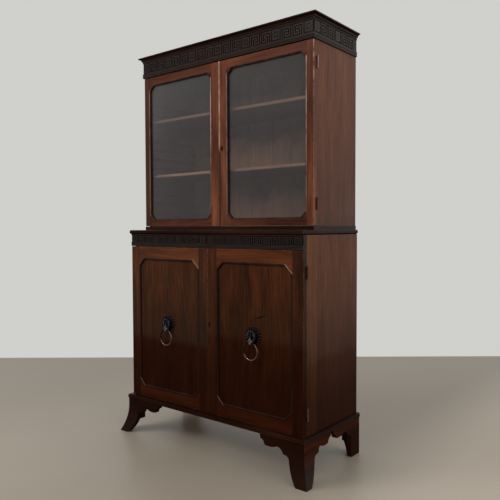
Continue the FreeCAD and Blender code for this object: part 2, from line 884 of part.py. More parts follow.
foot_face_x = S.lower_half_width + S.base_side_projection - S.foot_inset
foot_face_y = lower_front - S.base_front_projection + S.foot_inset
curve_radius = (S.foot_curve_height * S.foot_curve_height + S.foot_flare * S.foot_flare) / (S.foot_flare * 2)
inner_curve_radius = curve_radius + S.foot_thickness
inner_drop = math.sqrt(inner_curve_radius.value ** 2 - S.foot_curve_height.value ** 2)
inner_flare = as_size(curve_radius.value + 0.0 - inner_drop)


def splayed_section(face, direction):
    """The section of a front bracket: upright above, then curving outwards to the floor."""
    outer = -direction
    high = S.foot_height
    turn = S.foot_curve_height
    return [(face, high), (face, turn), Bend(curve_radius, direction), (face + outer * S.foot_flare, as_size(0)),
            (face + outer * inner_flare, as_size(0)), Bend(inner_curve_radius, -direction),
            (face + direction * S.foot_thickness, turn), (face + direction * S.foot_thickness, high)]


def bracket_waste(corner, direction, length, toe):
    """What is sawn away below a bracket: two lobes and a cusp run down into the leg.

    corner is the place of the foot's outer face, direction points along the bracket away from it. The scroll is
    laid out in hundredths of its own size, upwards and outwards from the foot and backwards from the bracket's end.
    """
    part = S.bracket_scroll / 100

    def at(along, height):
        return (corner + direction * along, as_size(height))

    def from_end(along, drop):
        return at(length - part * along, S.foot_height - part * drop)

    return [at(length + 1, S.foot_height - part * 17), from_end(0, 17), Bend(part * 24, -direction),
            from_end(22, 40), Bend(part * 90, direction), from_end(85, 34),
            Bend(part * 28, -direction), at(part * 104, part * 109), at(part * 97, part * 104),
            Bend(part * 26, -direction), at(part * 71, part * 90), Bend(part * 150, direction),
            at(part * toe, 0), at(part * toe, -1), at(length + 1, -1)]


def front_bracket(name, length, along_x):
    """One arm of the front right foot, mitred at the corner."""
    body = new_body(name)
    tip_x = foot_face_x + S.foot_flare
    tip_y = foot_face_y - S.foot_flare
    if along_x:
        inner_end = foot_face_x - length
        pad(body, "YZ_Plane", inner_end, [splayed_section(foot_face_y, 1)], tip_x - inner_end)
        waste = bracket_waste(foot_face_x, -1, length, 21)
        pocket(body, "XZ_Plane", tip_y - 1, [waste])
        mitre = [(tip_x + 1, tip_y - 1), (tip_x + 1, BACK), (foot_face_x - 60, BACK),
                 (foot_face_x - 60, foot_face_y + 60)]
    else:
        inner_end = foot_face_y + length
        section = splayed_section(foot_face_x, -1)
        pad(body, "XZ_Plane", tip_y, [section], inner_end - tip_y, reverse=True)
        waste = bracket_waste(foot_face_y, 1, length, 7)
        pocket(body, "YZ_Plane", tip_x + 1, [waste])
        mitre = [(tip_x + 1, tip_y - 1), (foot_face_x - 60, foot_face_y + 60), (foot_face_x - 60, tip_y - 1)]
    pocket(body, "XY_Plane", S.foot_height + 1, [mitre])
    return body


def glue_block(name, x_high, y_low, y_high):
    """A square block in the angle of a foot."""
    return slab(name, (x_high - S.foot_block, x_high), (y_low, y_high), (S.foot_block_level, S.foot_height))


front_arm = front_bracket("front_foot_front_arm", S.front_bracket_length, True)
side_arm = front_bracket("front_foot_side_arm", S.side_bracket_length, False)
block_x = foot_face_x - S.foot_thickness
block_y = foot_face_y + S.foot_thickness
front_block = glue_block("front_foot_block", block_x, block_y, block_y + S.foot_block)
front_foot = group([front_arm, side_arm, front_block], "foot_front_right")
mirror(front_foot, "foot_front_left")


def rear_arm(name):
    """The upright side bracket of the rear right foot."""
    body = new_body(name)
    outline = rectangle(BACK - S.rear_bracket_length, BACK, as_size(0), S.foot_height)
    pad(body, "YZ_Plane", foot_face_x - S.foot_thickness, [outline], S.foot_thickness)
    waste = bracket_waste(BACK, -1, S.rear_bracket_length, 66)
    pocket(body, "YZ_Plane", foot_face_x + 1, [waste])
    return body


def back_arm(name):
    """The plain bracket across the back of the rear right foot, sawn to a slope."""
    body = new_body(name)
    x_high = foot_face_x - S.foot_thickness
    length = S.back_bracket_length
    outline = [(x_high, as_size(0)), (x_high, S.foot_height), (x_high - length, S.foot_height),
               (x_high - length, S.foot_height - 25), Bend(200, 1), (x_high - 30, as_size(0))]
    pad(body, "XZ_Plane", BACK, [outline], S.foot_thickness)
    return body


side_of_rear = rear_arm("rear_foot_side_arm")
back_of_rear = back_arm("rear_foot_back_arm")
rear_block = glue_block("rear_foot_block", block_x, BACK - S.foot_thickness - S.foot_block, BACK - S.foot_thickness)
rear_foot = group([side_of_rear, back_of_rear, rear_block], "foot_rear_right")
mirror(rear_foot, "foot_rear_left")

# ---------------------------------------------------------------- doors

CANT_SHRINK = 2 - math.sqrt(2)


def octagon(x_low, x_high, z_low, z_high, cant, inset=0):
    """A rectangle with canted corners, shrunk evenly by the inset."""
    inset = as_size(inset)
    leg = cant - inset * CANT_SHRINK
    x_low, x_high, z_low, z_high = x_low + inset, x_high - inset, z_low + inset, z_high - inset
    return [(x_low + leg, z_low), (x_high - leg, z_low), (x_high, z_low + leg), (x_high, z_high - leg),
            (x_high - leg, z_high), (x_low + leg, z_high), (x_low, z_high - leg), (x_low, z_low + leg)]


class Door:
    """The places that the pieces of one overlay door share. hand is +1 for the right-hand door."""

    def __init__(self, name, hand, half, meeting, z_low, z_high, front, thickness):
        self.name = name
        self.hand = hand
        self.edge = half * hand
        self.meeting = meeting
        self.z_low = z_low
        self.z_high = z_high
        self.back = front - S.door_gap
        self.face = self.back - thickness
        self.thickness = thickness

    def set_frame(self, hinge_stile, meeting_stile, top_rail, bottom_rail, cant):
        self.inner_hinge = self.edge - hinge_stile * self.hand
        self.inner_meeting = self.meeting + meeting_stile * self.hand
        self.opening_low = self.z_low + bottom_rail
        self.opening_high = self.z_high - top_rail
        self.cant = cant

    def opening(self, inset=0):
        ends = (self.inner_meeting, self.inner_hinge) if self.hand > 0 else (self.inner_hinge, self.inner_meeting)
        return octagon(ends[0], ends[1], self.opening_low, self.opening_high, self.cant, inset)

    def stile(self, side, x_from, x_to):
        body = new_body(self.name + "_" + side + "_stile")
        low, high = (x_from, x_to) if x_from.value < x_to.value else (x_to, x_from)
        pad(body, "XZ_Plane", self.back, [rectangle(low, high, self.z_low, self.z_high)], self.thickness)
        return body

    def hinge_stile(self, levels):
        """The stile that carries the hinges, with a mortise for each leaf in its back."""
        body = self.stile("hinge", self.inner_hinge, self.edge)
        inner = self.edge - S.hinge_leaf_width * self.hand
        outer = self.edge + as_size(1) * self.hand
        low, high = (inner, outer) if self.hand > 0 else (outer, inner)
        mortises = [rectangle(low, high, level, level + S.hinge_height) for level in levels]
        pocket(body, "XZ_Plane", self.back, mortises, S.hinge_leaf_thickness, reverse=True)
        return body

    def meeting_stile(self, keyhole=None):
        """The stile at the middle of the case; the lock's door has a keyhole through it."""
        body = self.stile("meeting", self.meeting, self.inner_meeting)
        if keyhole:
            pocket(body, "XZ_Plane", self.face - 1, [keyhole_outline(*keyhole)])
        return body

    def rail(self, side):
        """A rail whose ends swell into the canted corners."""
        body = new_body(self.name + "_" + side + "_rail")
        low, high = ((self.inner_meeting, self.inner_hinge) if self.hand > 0
                     else (self.inner_hinge, self.inner_meeting))
        outer, inner, step = ((self.z_high, self.opening_high, -self.cant) if side == "top"
                              else (self.z_low, self.opening_low, self.cant))
        outline = [(low, outer), (low, inner + step), (low + self.cant, inner), (high - self.cant, inner),
                   (high, inner + step), (high, outer)]
        pad(body, "XZ_Plane", self.back, [outline], self.thickness)
        return body

    def frame(self, levels, keyhole=None):
        pieces = [self.hinge_stile(levels), self.meeting_stile(keyhole), self.rail("top"), self.rail("bottom")]
        return group(pieces, self.name + "_frame")


def keyhole_outline(x, z):
    """An eight-sided hole that runs down into a narrow slot."""
    radius = S.keyhole_radius
    short = radius * 0.41
    return [(x - short, z - radius), (x - radius, z - short), (x - radius, z + short), (x - short, z + radius),
            (x + short, z + radius), (x + radius, z + short), (x + radius, z - short), (x + short, z - radius),
            (x + short, z - S.keyhole_slot), (x - short, z - S.keyhole_slot)]


def ring_of(body, door, near_y, depth, width, softened, size, kind, inner_only):
    """A canted frame, `width` wide, whose front inner edges are rounded or sloped."""
    pad(body, "XZ_Plane", near_y, [door.opening(), door.opening(width)], depth)
    outline = door.opening(width)
    low_x = min(as_size(u).value for u, v in outline) - 0.01
    high_x = max(as_size(u).value for u, v in outline) + 0.01
    low_z = min(as_size(v).value for u, v in outline) - 0.01
    high_z = max(as_size(v).value for u, v in outline) + 0.01

    def chosen(point):
        inside = low_x < point.x < high_x and low_z < point.z < high_z
        return near(point.y, softened) and (inside or not inner_only)

    ease(body, kind, size, chosen)


def glazed_door(door, levels, keyhole=None):
    """Frame, glazing moulding with the beads behind it, and the pane between them."""
    door.frame(levels, keyhole)
    moulding_back = door.face + S.sash_depth
    moulding_face = door.face - S.sash_proud
    sash = new_body(door.name + "_sash")
    ring_of(sash, door, moulding_back, moulding_back - moulding_face, S.sash_width, moulding_face,
            S.sash_round, "Fillet", True)
    glass_back = moulding_back + S.glass_thickness
    pane = new_body(door.name + "_glass")
    pad(pane, "XZ_Plane", glass_back, [door.opening(S.glass_fit)], S.glass_thickness)
    publish(pane, door.name + "_glass")
    bead = new_body(door.name + "_bead")
    bead_back = glass_back + S.bead_depth
    ring_of(bead, door, bead_back, S.bead_depth, S.sash_width, bead_back, S.bead_slope, "Chamfer", True)
    group([sash, bead], door.name + "_glazing_moulding")


def panelled_door(door, levels, keyhole=None):
    """Frame, sunk octagonal panel, and the moulding planted round the panel's edge."""
    door.frame(levels, keyhole)
    panel_face = door.face + S.panel_recess
    panel = new_body(door.name + "_panel")
    pad(panel, "XZ_Plane", panel_face + S.panel_thickness, [door.opening()], S.panel_thickness)
    publish(panel, door.name + "_panel")
    moulding = new_body(door.name + "_panel_moulding")
    moulding_face = door.face - S.panel_moulding_proud
    ring_of(moulding, door, panel_face, panel_face - moulding_face, S.panel_moulding_width, moulding_face,
            S.panel_moulding_slope, "Chamfer", False)
    publish(moulding, door.name + "_panel_moulding")


def make_door(name, hand, half, meeting, z_low, z_high, front, thickness, frame_sizes):
    door = Door(name, hand, half, meeting, z_low, z_high, front, thickness)
    door.set_frame(*frame_sizes)
    return door


upper_frame = (S.upper_hinge_stile, S.upper_meeting_stile, S.upper_top_rail, S.upper_bottom_rail, S.upper_cant)
lower_frame = (S.lower_stile, S.lower_stile, S.lower_top_rail, S.lower_bottom_rail, S.lower_cant)
upper_left = make_door("upper_door_left", -1, upper_half_width, upper_meeting_left, upper_door_low,
                       upper_door_high, upper_front, S.upper_door_thickness, upper_frame)
upper_right = make_door("upper_door_right", 1, upper_half_width, upper_meeting_right, upper_door_low,
                        upper_door_high, upper_front, S.upper_door_thickness, upper_frame)
lower_left = make_door("lower_door_left", -1, S.lower_half_width, lower_meeting_left, lower_door_low,
                       lower_door_high, lower_front, S.lower_door_thickness, lower_frame)
lower_right = make_door("lower_door_right", 1, S.lower_half_width, lower_meeting_right, lower_door_low,
                        lower_door_high, lower_front, S.lower_door_thickness, lower_frame)

upper_keyhole = (upper_meeting_right + S.keyhole_setback, S.upper_keyhole_level)
lower_keyhole = (lower_meeting_right + S.lower_keyhole_setback, S.lower_keyhole_level)
glazed_door(upper_left, upper_hinges)
glazed_door(upper_right, upper_hinges, upper_keyhole)
panelled_door(lower_left, lower_hinges)
panelled_door(lower_right, lower_hinges, lower_keyhole)


def meeting_bead():
    """A half-round bead on the meeting edge of the upper right door."""
    body = new_body("meeting_bead")
    half = S.astragal_width / 2
    radius = (half * half + S.astragal_rise * S.astragal_rise) / (S.astragal_rise * 2)
    low = upper_meeting_right
    outline = [(low, upper_right.face), Bend(radius, -1), (low + S.astragal_width, upper_right.face)]
    pad(body, "XY_Plane", upper_door_low, [outline], upper_door_high - upper_door_low)
    return publish(body, "meeting_bead")


meeting_bead()

# ---------------------------------------------------------------- butt hinges

KNUCKLES = 3
pin_reach = S.hinge_knuckle_radius + S.hinge_joint_gap


def pin_place(door):
    """The x and y of a door's hinge pins: just outside the case, in the joint behind the door."""
    return door.edge + pin_reach * door.hand, door.back + S.door_gap / 2


def leaf(name, door, level, on_case):
    """One leaf of a butt hinge. The case's leaf holds the pin, on which the door's knuckle turns."""
    pin_x, pin_y = pin_place(door)
    inner = door.edge - S.hinge_leaf_width * door.hand
    y_near = door.back + S.door_gap if on_case else door.back - S.hinge_leaf_thickness
    y_far = y_near + S.hinge_leaf_thickness
    body = new_body(name)
    low, high = (inner, door.edge) if door.hand > 0 else (door.edge, inner)
    pad(body, "XY_Plane", level, [rectangle(low, high, y_near, y_far)], S.hinge_height)
    share = S.hinge_height / KNUCKLES
    gap = S.hinge_joint_gap
    spans = ([(level, share - gap / 2), (level + share * 2 + gap / 2, share - gap / 2)] if on_case
             else [(level + share + gap / 2, share - gap)])
    web_low, web_high = (inner, pin_x) if door.hand > 0 else (pin_x, inner)
    for start, length in spans:
        pad(body, "XY_Plane", start, [rectangle(web_low, web_high, y_near, y_far)], length)
        pad(body, "XY_Plane", start, [polygon(pin_x, pin_y, S.hinge_knuckle_radius, BARREL_SIDES)], length)
    if on_case:
        pad(body, "XY_Plane", level, [Disc(pin_x, pin_y, S.hinge_pin_radius)], S.hinge_height)
    else:
        bore = Disc(pin_x, pin_y, S.hinge_pin_radius + S.hinge_running_fit)
        pocket(body, "XY_Plane", level + S.hinge_height + 1, [bore])
    return body


for case, doors, levels in (("upper", (upper_left, upper_right), upper_hinges),
                            ("lower", (lower_left, lower_right), lower_hinges)):
    case_leaves = []
    for door in doors:
        door_leaves = []
        for number, level in enumerate(levels, start=1):
            stem = door.name + "_%d" % number
            case_leaves.append(leaf("case_leaf_" + stem, door, level, True))
            door_leaves.append(leaf("door_leaf_" + stem, door, level, False))
        group(door_leaves, door.name + "_hinge_leaves")
    group(case_leaves, case + "_case_hinge_leaves")

# ---------------------------------------------------------------- locks and slide bolts

def lock_box(name, door, level):
    """A cupboard lock on the back of the meeting stile, open at the edge where its bolt comes out."""
    body = new_body(name)
    x_low = door.meeting + S.lock_edge
    pad(body, "XZ_Plane", door.back + S.lock_thickness,
        [rectangle(x_low, x_low + S.lock_width, level - S.lock_height / 2, level + S.lock_height / 2)],
        S.lock_thickness)
    bolt_low = level + S.keyhole_radius * 2 - S.slide_fit
    bolt_near, bolt_far = lock_bolt_depths(door)
    channel = rectangle(bolt_near - S.slide_fit, bolt_far + S.slide_fit, bolt_low,
                        bolt_low + S.lock_bolt_height + S.slide_fit * 2)
    pocket(body, "YZ_Plane", x_low - 1, [channel], S.lock_bolt_length + S.slide_fit + 1, reverse=True)
    return body


def lock_bolt_depths(door):
    """The near and far y of a lock's bolt."""
    near_y = door.back + (S.lock_thickness - S.lock_bolt_thickness) / 2
    return near_y, near_y + S.lock_bolt_thickness


def lock_bolt(label, door, level):
    """The bolt of a cupboard lock, drawn back flush with the lock's edge."""
    x_low = door.meeting + S.lock_edge
    z_low = level + S.keyhole_radius * 2
    body = slab(label, (x_low, x_low + S.lock_bolt_length), lock_bolt_depths(door), (z_low, z_low + S.lock_bolt_height))
    return publish(body, label)


def escutcheon(name, door, x, level):
    """A thin shaped plate round a keyhole."""
    body = new_body(name)
    half = S.escutcheon_width / 2
    top = level + half
    foot = level + half - S.escutcheon_height
    outline = [(x - half, level), Bend(half * 1.01, -1), (x, top), Bend(half * 1.01, -1), (x + half, level),
               (x + half * 0.6, foot), (x - half * 0.6, foot)]
    pad(body, "XZ_Plane", door.face, [outline, keyhole_outline(x, level)], S.escutcheon_thickness)
    return body


for door, keyhole in ((upper_right, upper_keyhole), (lower_right, lower_keyhole)):
    stem = door.name.split("_")[0]
    case = lock_box(stem + "_lock_box", door, keyhole[1])
    plate = escutcheon(stem + "_escutcheon", door, keyhole[0], keyhole[1])
    group([case, plate], stem + "_lock")
    lock_bolt(stem + "_lock_bolt", door, keyhole[1])


def bolt_plate(name, door, z_low):
    """A slide bolt's plate with its two staples."""
    body = new_body(name)
    middle = door.meeting - S.bolt_setback
    half = S.bolt_plate_width / 2
    plate_far = door.back + S.bolt_plate_thickness
    pad(body, "XZ_Plane", plate_far,
        [rectangle(middle - half, middle + half, z_low, z_low + S.bolt_plate_height)], S.bolt_plate_thickness)
    inner = S.bolt_width / 2 + S.slide_fit
    outer = inner + S.bolt_plate_thickness
    slot_far = plate_far + S.bolt_thickness + S.slide_fit * 2
    loop_far = slot_far + S.bolt_plate_thickness
    staple = [(middle - outer, plate_far), (middle - outer, loop_far), (middle + outer, loop_far),
              (middle + outer, plate_far), (middle + inner, plate_far), (middle + inner, slot_far),
              (middle - inner, slot_far), (middle - inner, plate_far)]
    first = pad(body, "XY_Plane", z_low + 2, [staple], S.bolt_staple_height)
    repeat(body, first, "Z_Axis", S.bolt_plate_height - S.bolt_staple_height - 4, 2)
    return body


def slide_bolt(label, door, z_low):
    """The bar of a slide bolt with its knob."""
    body = new_body(label)
    middle = door.meeting - S.bolt_setback
    half = S.bolt_width / 2
    near_y = door.back + S.bolt_plate_thickness + S.slide_fit
    far_y = near_y + S.bolt_thickness
    pad(body, "XZ_Plane", far_y, [rectangle(middle - half, middle + half, z_low, z_low + S.bolt_length)],
        S.bolt_thickness)
    knob = polygon(middle, z_low + S.bolt_length / 2, S.bolt_knob_radius, KNOB_SIDES)
    pad(body, "XZ_Plane", far_y, [knob], S.bolt_knob_length, reverse=True)
    return publish(body, label)


for door in (upper_left, lower_left):
    stem = door.name.split("_")[0]
    high_bar = door.z_high - S.bolt_edge_gap - S.bolt_length
    low_bar = door.z_low + S.bolt_edge_gap
    plate_shift = (S.bolt_plate_height - S.bolt_length) / 2
    plates = [bolt_plate(stem + "_bolt_plate_high", door, high_bar - plate_shift - 4),
              bolt_plate(stem + "_bolt_plate_low", door, low_bar - plate_shift + 4)]
    group(plates, stem + "_bolt_plates")
    slide_bolt(stem + "_bolt_high", door, high_bar)
    slide_bolt(stem + "_bolt_low", door, low_bar)

# ---------------------------------------------------------------- lion-mask ring pulls

panel_y = lower_right.face + S.panel_recess
ring_y = panel_y - S.ring_pivot_reach
ring_z = S.mask_level - S.ring_pivot_drop


HEAD_OUTLINE = ((0.45, -1), (0.8, -0.55), (1, 0.05), (0.85, 0.6), (0.45, 1))
HEAD_LEVELS = ((0, 0.6, 1), (0.6, 0.9, 0.8), (0.9, 1, 0.5))       # shares of the rise, from and to, and of the outline
HEAD_SLOPE = 0.4          # how much of each step's rise slopes back


def mane(name, x, z):
    """The mask's collar: a ring of blunt locks with sloping faces."""
    body = new_body(name)
    outline = []
    for number in range(MANE_LOCKS * 4):
        angle = -2 * math.pi * (number + 0.5) / (MANE_LOCKS * 4)
        reach = S.mask_radius + S.mane_lock if number % 4 in (1, 2) else S.mask_radius
        outline.append((x + reach * math.sin(angle), z + reach * math.cos(angle)))
    pad(body, "XZ_Plane", panel_y, [outline], S.mane_rise)
    ease(body, "Chamfer", S.mane_slope, lambda point: near(point.y, panel_y - S.mane_rise))
    return body


def head(name, x, z):
    """The face, in sloping steps that narrow to the ridge of the nose."""
    body = new_body(name)
    for low, high, share in HEAD_LEVELS:
        half = [(S.head_half_width * (share * u), S.head_half_height * (share * v)) for u, v in HEAD_OUTLINE]
        loop = [(x + u, z + v) for u, v in half] + [(x - u, z + v) for u, v in half[::-1]]
        pad(body, "XZ_Plane", panel_y - S.head_rise * low, [loop], S.head_rise * (high - low))
        crest = panel_y - S.head_rise * high
        ease(body, "Chamfer", S.head_rise * ((high - low) * HEAD_SLOPE), lambda point: near(point.y, crest))
    return body


def muzzle(name, x):
    """The snout, which holds the ring, extruded across from its side view."""
    body = new_body(name)
    below, above = S.muzzle_depth, S.muzzle_depth
    side_view = [(panel_y, ring_z - below), (ring_y - below * 0.3, ring_z - below),
                 (ring_y - above, ring_z - below * 0.4), (ring_y - above, ring_z + above * 0.5),
                 (ring_y - above * 0.5, ring_z + above * 1.3), (panel_y, ring_z + above * 2.4)]
    pad(body, "YZ_Plane", x - S.muzzle_half_width, [side_view], S.muzzle_half_width * 2)
    ease(body, "Chamfer", S.muzzle_slope, lambda point: point.y < ring_y.value + 5)
    return body


def mask(label, x):
    """A cast lion mask: mane, face, ears and a muzzle bored across for the ring.

    The bore is wider than the ring's wire by the room that the ring's curve needs at both cheeks.
    """
    z = S.mask_level
    pieces = [mane(label + "_mane", x, z), head(label + "_head", x, z), muzzle(label + "_muzzle", x)]
    for side in (-1, 1):
        ear = primitive("Prism", {"Circumradius": S.ear_radius, "Height": S.mane_rise * 1.5},
                        (x + S.head_half_width * (0.8 * side), panel_y, z + S.head_half_height * 0.75), FORWARDS)
        pieces.append(ear)
    whole = doc.addObject("Part::MultiFuse", label + "_whole")
    whole.Shapes = pieces
    reach = S.muzzle_half_width + 1
    waste = primitive("Cylinder", {"Radius": S.ring_wire + S.ring_fit + S.mouth_room, "Height": reach * 2},
                      (x - reach, ring_y, ring_z), Rotation(Vector(0, 1, 0), 90))
    bored = doc.addObject("Part::Cut", label)
    bored.Base = whole
    bored.Tool = waste
    doc.recompute()
    return publish(bored, label)


def pull_ring(label, x):
    """The ring, hanging from the mouth: a many-sided section carried round a many-sided path."""
    body = new_body(label)
    centre = ring_z - S.ring_radius * math.cos(math.pi / RING_SIDES)
    path = [(x, ring_z)] + polygon(x, centre, S.ring_radius, RING_SIDES)
    spine = sketch_on(body, "XZ_Plane", ring_y, [path])
    profile = sketch_on(body, "YZ_Plane", x, [polygon(ring_y, ring_z, S.ring_wire, WIRE_SIDES)])
    pipe = body.newObject("PartDesign::AdditivePipe", "Pipe")
    pipe.Profile = profile
    pipe.Spine = spine
    pipe.Transition = "Right corner"
    doc.recompute()
    return publish(body, label)


for side, x in (("left", -S.mask_offset), ("right", S.mask_offset)):
    mask("lion_mask_" + side, x)
    pull_ring("pull_ring_" + side, x)

# ---------------------------------------------------------------- checks and files

doc.recompute()
for item in doc.Objects:
    if "Invalid" in item.State or "Error" in item.State:
        raise RuntimeError(item.Label + " failed: " + ", ".join(item.State))
for item in parts:
    if item.Shape.isNull() or not item.Shape.isValid():
        raise RuntimeError(item.Label + " has no valid shape")

os.makedirs("parts", exist_ok=True)
for item in parts:
    item.Shape.exportStep(os.path.join("parts", item.Label + ".step"))
print(len(parts), "sub-parts written")
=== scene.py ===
# %% [markdown]
# # A two-part mahogany bookcase
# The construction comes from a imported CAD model: every board, door, hinge and bolt is already there, in metres, and
# stays where it is. These cells give it its finishes, add the cast and small pieces, and light it.
# Each step says what the real thing is, how it could be made, and why this way was chosen.

# %% Load the construction
import math

import bmesh
import bpy
from mathutils import Matrix, Vector


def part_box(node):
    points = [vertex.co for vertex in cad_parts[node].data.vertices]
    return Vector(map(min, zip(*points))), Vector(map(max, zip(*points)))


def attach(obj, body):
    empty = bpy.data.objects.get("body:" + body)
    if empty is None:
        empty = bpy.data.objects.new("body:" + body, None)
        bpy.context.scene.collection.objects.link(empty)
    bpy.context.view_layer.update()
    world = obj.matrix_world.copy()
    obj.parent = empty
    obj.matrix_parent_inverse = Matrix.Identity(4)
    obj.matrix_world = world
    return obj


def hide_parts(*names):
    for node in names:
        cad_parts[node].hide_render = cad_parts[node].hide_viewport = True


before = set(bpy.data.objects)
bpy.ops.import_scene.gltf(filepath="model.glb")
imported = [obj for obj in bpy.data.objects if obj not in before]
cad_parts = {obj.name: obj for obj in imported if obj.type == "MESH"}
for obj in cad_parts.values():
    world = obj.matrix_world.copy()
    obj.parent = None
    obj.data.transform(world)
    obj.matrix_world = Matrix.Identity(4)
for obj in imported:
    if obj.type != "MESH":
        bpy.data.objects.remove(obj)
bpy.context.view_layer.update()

MM = 0.001

# %% [markdown]
# ## A short way to write shader sums
# A material is a graph of nodes, and its maths is easier to read as plain sums than as boxes and wires. `Wire` wraps
# one socket and turns `a * 2 + b` into Math nodes. `Finish` is one material with a single method for every other
# kind of node. The same could be done with a node group for each sum, but then the sums could not be read here.

# %% Wire and Finish
class Wire:
    """A number, colour or place that runs through a material. Sums on it add Math nodes."""

    def __init__(self, finish, socket):
        self.finish = finish
        self.socket = socket

    def maths(self, operation, *values):
        return self.finish.node("ShaderNodeMath", {"operation": operation}, dict(enumerate(values)))

    def __add__(self, other):
        return self.maths("ADD", self, other)

    def __sub__(self, other):
        return self.maths("SUBTRACT", self, other)

    def __rsub__(self, other):
        return self.maths("SUBTRACT", other, self)

    def __mul__(self, other):
        return self.maths("MULTIPLY", self, other)

    def __abs__(self):
        return self.maths("ABSOLUTE", self)

    __radd__ = __add__
    __rmul__ = __mul__

    def floor(self):
        return self.maths("FLOOR", self)

    def fraction(self):
        return self.maths("FRACT", self)

    def least(self, other):
        return self.maths("MINIMUM", self, other)

    def most(self, other):
        return self.maths("MAXIMUM", self, other)

    def ease(self, start, end, low=0.0, high=1.0):
        """Runs smoothly from low to high while the value goes from start to end."""
        return self.finish.node("ShaderNodeMapRange", {"interpolation_type": "SMOOTHSTEP"},
                                {"Value": self, "From Min": start, "From Max": end, "To Min": low, "To Max": high})


class Finish:
    """One material, with a method that adds any node to it."""

    def __init__(self, name=None, owner=None):
        self.material = owner or bpy.data.materials.new(name)
        self.material.use_nodes = True
        self.tree = self.material.node_tree
        self.tree.nodes.clear()

    def node(self, kind, settings=None, inputs=None, output=0):
        made = self.tree.nodes.new(kind)
        for name, value in (settings or {}).items():
            if name == "stops":
                ramp = made.color_ramp
                while len(ramp.elements) < len(value):
                    ramp.elements.new(1.0)
                for element, (position, colour) in zip(ramp.elements, value):
                    element.position = position
                    element.color = (*colour, 1.0)
            else:
                setattr(made, name, value)
        for name, value in (inputs or {}).items():
            if isinstance(value, Wire):
                self.tree.links.new(value.socket, made.inputs[name])
            else:
                made.inputs[name].default_value = value
        return Wire(self, made.outputs[output])

    def place(self):
        """The point's own place, in metres, on the piece at rest."""
        return self.node("ShaderNodeTexCoord", output="Object")

    def split(self, vector):
        return [self.node("ShaderNodeSeparateXYZ", inputs={"Vector": vector}, output=axis) for axis in range(3)]

    def mix(self, share, first, second, blend="MIX"):
        """first where share is 0 and second where it is 1; both are colours."""
        colours = {6: first, 7: second}
        for key, colour in colours.items():
            if not isinstance(colour, Wire):
                colours[key] = (*colour, 1.0)
        return self.node("ShaderNodeMix", {"data_type": "RGBA", "blend_type": blend}, {0: share, **colours}, 2)

    def tint(self, colour, by):
        """The colour, each channel multiplied by a number."""
        return self.mix(1.0, colour, by, "MULTIPLY")

    def noise(self, vector, scale, detail=2.0, roughness=0.5, output="Fac"):
        return self.node("ShaderNodeTexNoise", None, {"Vector": vector, "Scale": scale, "Detail": detail,
                                                      "Roughness": roughness}, output)

    def bump(self, height, distance, strength=1.0):
        return self.node("ShaderNodeBump", None, {"Height": height, "Distance": distance, "Strength": strength})

    def surface(self, **sockets):
        """Ends the material in a Principled shader. Socket names are written with _ for a space."""
        shader = self.node("ShaderNodeBsdfPrincipled", None,
                           {name.replace("_", " "): value for name, value in sockets.items()})
        self.end(shader, "ShaderNodeOutputMaterial")
        return self.material

    def end(self, shader, kind):
        output = self.tree.nodes.new(kind)
        self.tree.links.new(shader.socket, output.inputs["Surface"])


def dress(node, material):
    """Gives a construction piece its finish."""
    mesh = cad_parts[node].data
    mesh.materials.clear()
    mesh.materials.append(material)


print("helpers for materials ready")

# %% [markdown]
# ## Mahogany grain
# Mahogany shows long streaks that run with the grain, a slow drift from light to dark across the board, and fine
# dark pores a few millimetres long. Pictures of boards would do for one view, but here each pattern is noise on the
# piece's own coordinates, stretched along the grain, so it keeps its scale on every board and runs round the edges
# as in solid wood.

# %% Grain
X, Y, Z = range(3)


def stretched(finish, place, along, length):
    """Coordinates in which a pattern is `length` times longer with the grain than across it."""
    scale = [1.0, 1.0, 1.0]
    scale[along] = 1.0 / length
    return finish.node("ShaderNodeMapping", None, {"Vector": place, "Scale": scale})


def grain(finish, place, along):
    """Figure, streaks and pores of a board whose grain runs along one axis; each is about 0 to 1."""
    drift = finish.noise(place, 2.6, 1.0, output="Color")
    bent = finish.node("ShaderNodeVectorMath", {"operation": "MULTIPLY_ADD"}, {0: drift, 1: (0.045,) * 3, 2: place})
    figure = finish.noise(stretched(finish, bent, along, 9.0), 17.0, 3.0, 0.55)
    streak = finish.noise(stretched(finish, bent, along, 22.0), 150.0, 4.0, 0.65)
    pore = finish.noise(stretched(finish, bent, along, 16.0), 1100.0, 1.0)
    return figure, streak, pore.ease(0.60, 0.72)


print("grain: figure, streaks and pores")

# %% [markdown]
# ## Old polish
# After two centuries the arrises of a polished board are rubbed pale, in patches, and the sheen varies a little. The
# pale arrises are partly that wear and partly a painted highlight, as a rounded arris would catch. A Geometry node
# can tell where an edge is sharp, but only as finely as the mesh is cut. The boards are boxes, so the distance from
# the faces of a board's own box finds its arrises exactly. A board's colours are three tones, from its dark streaks
# to its light ones.

# %% Polished wood
# The pale arris is wear, and partly a painted highlight.
ARRIS = 2.2 * MM          # how far the rubbing reaches in from an arris


def board_edges(axes, low, high, width):
    """1 on the arrises of a box-shaped piece, falling to 0 a little way in on its faces."""
    depths = [(axes[i] - low[i]).least(high[i] - axes[i]) for i in range(3)]
    nearer, further = depths[0].least(depths[1]), depths[0].most(depths[1])
    second = nearer.most(further.least(depths[2]))
    return second.ease(width, 0.0)


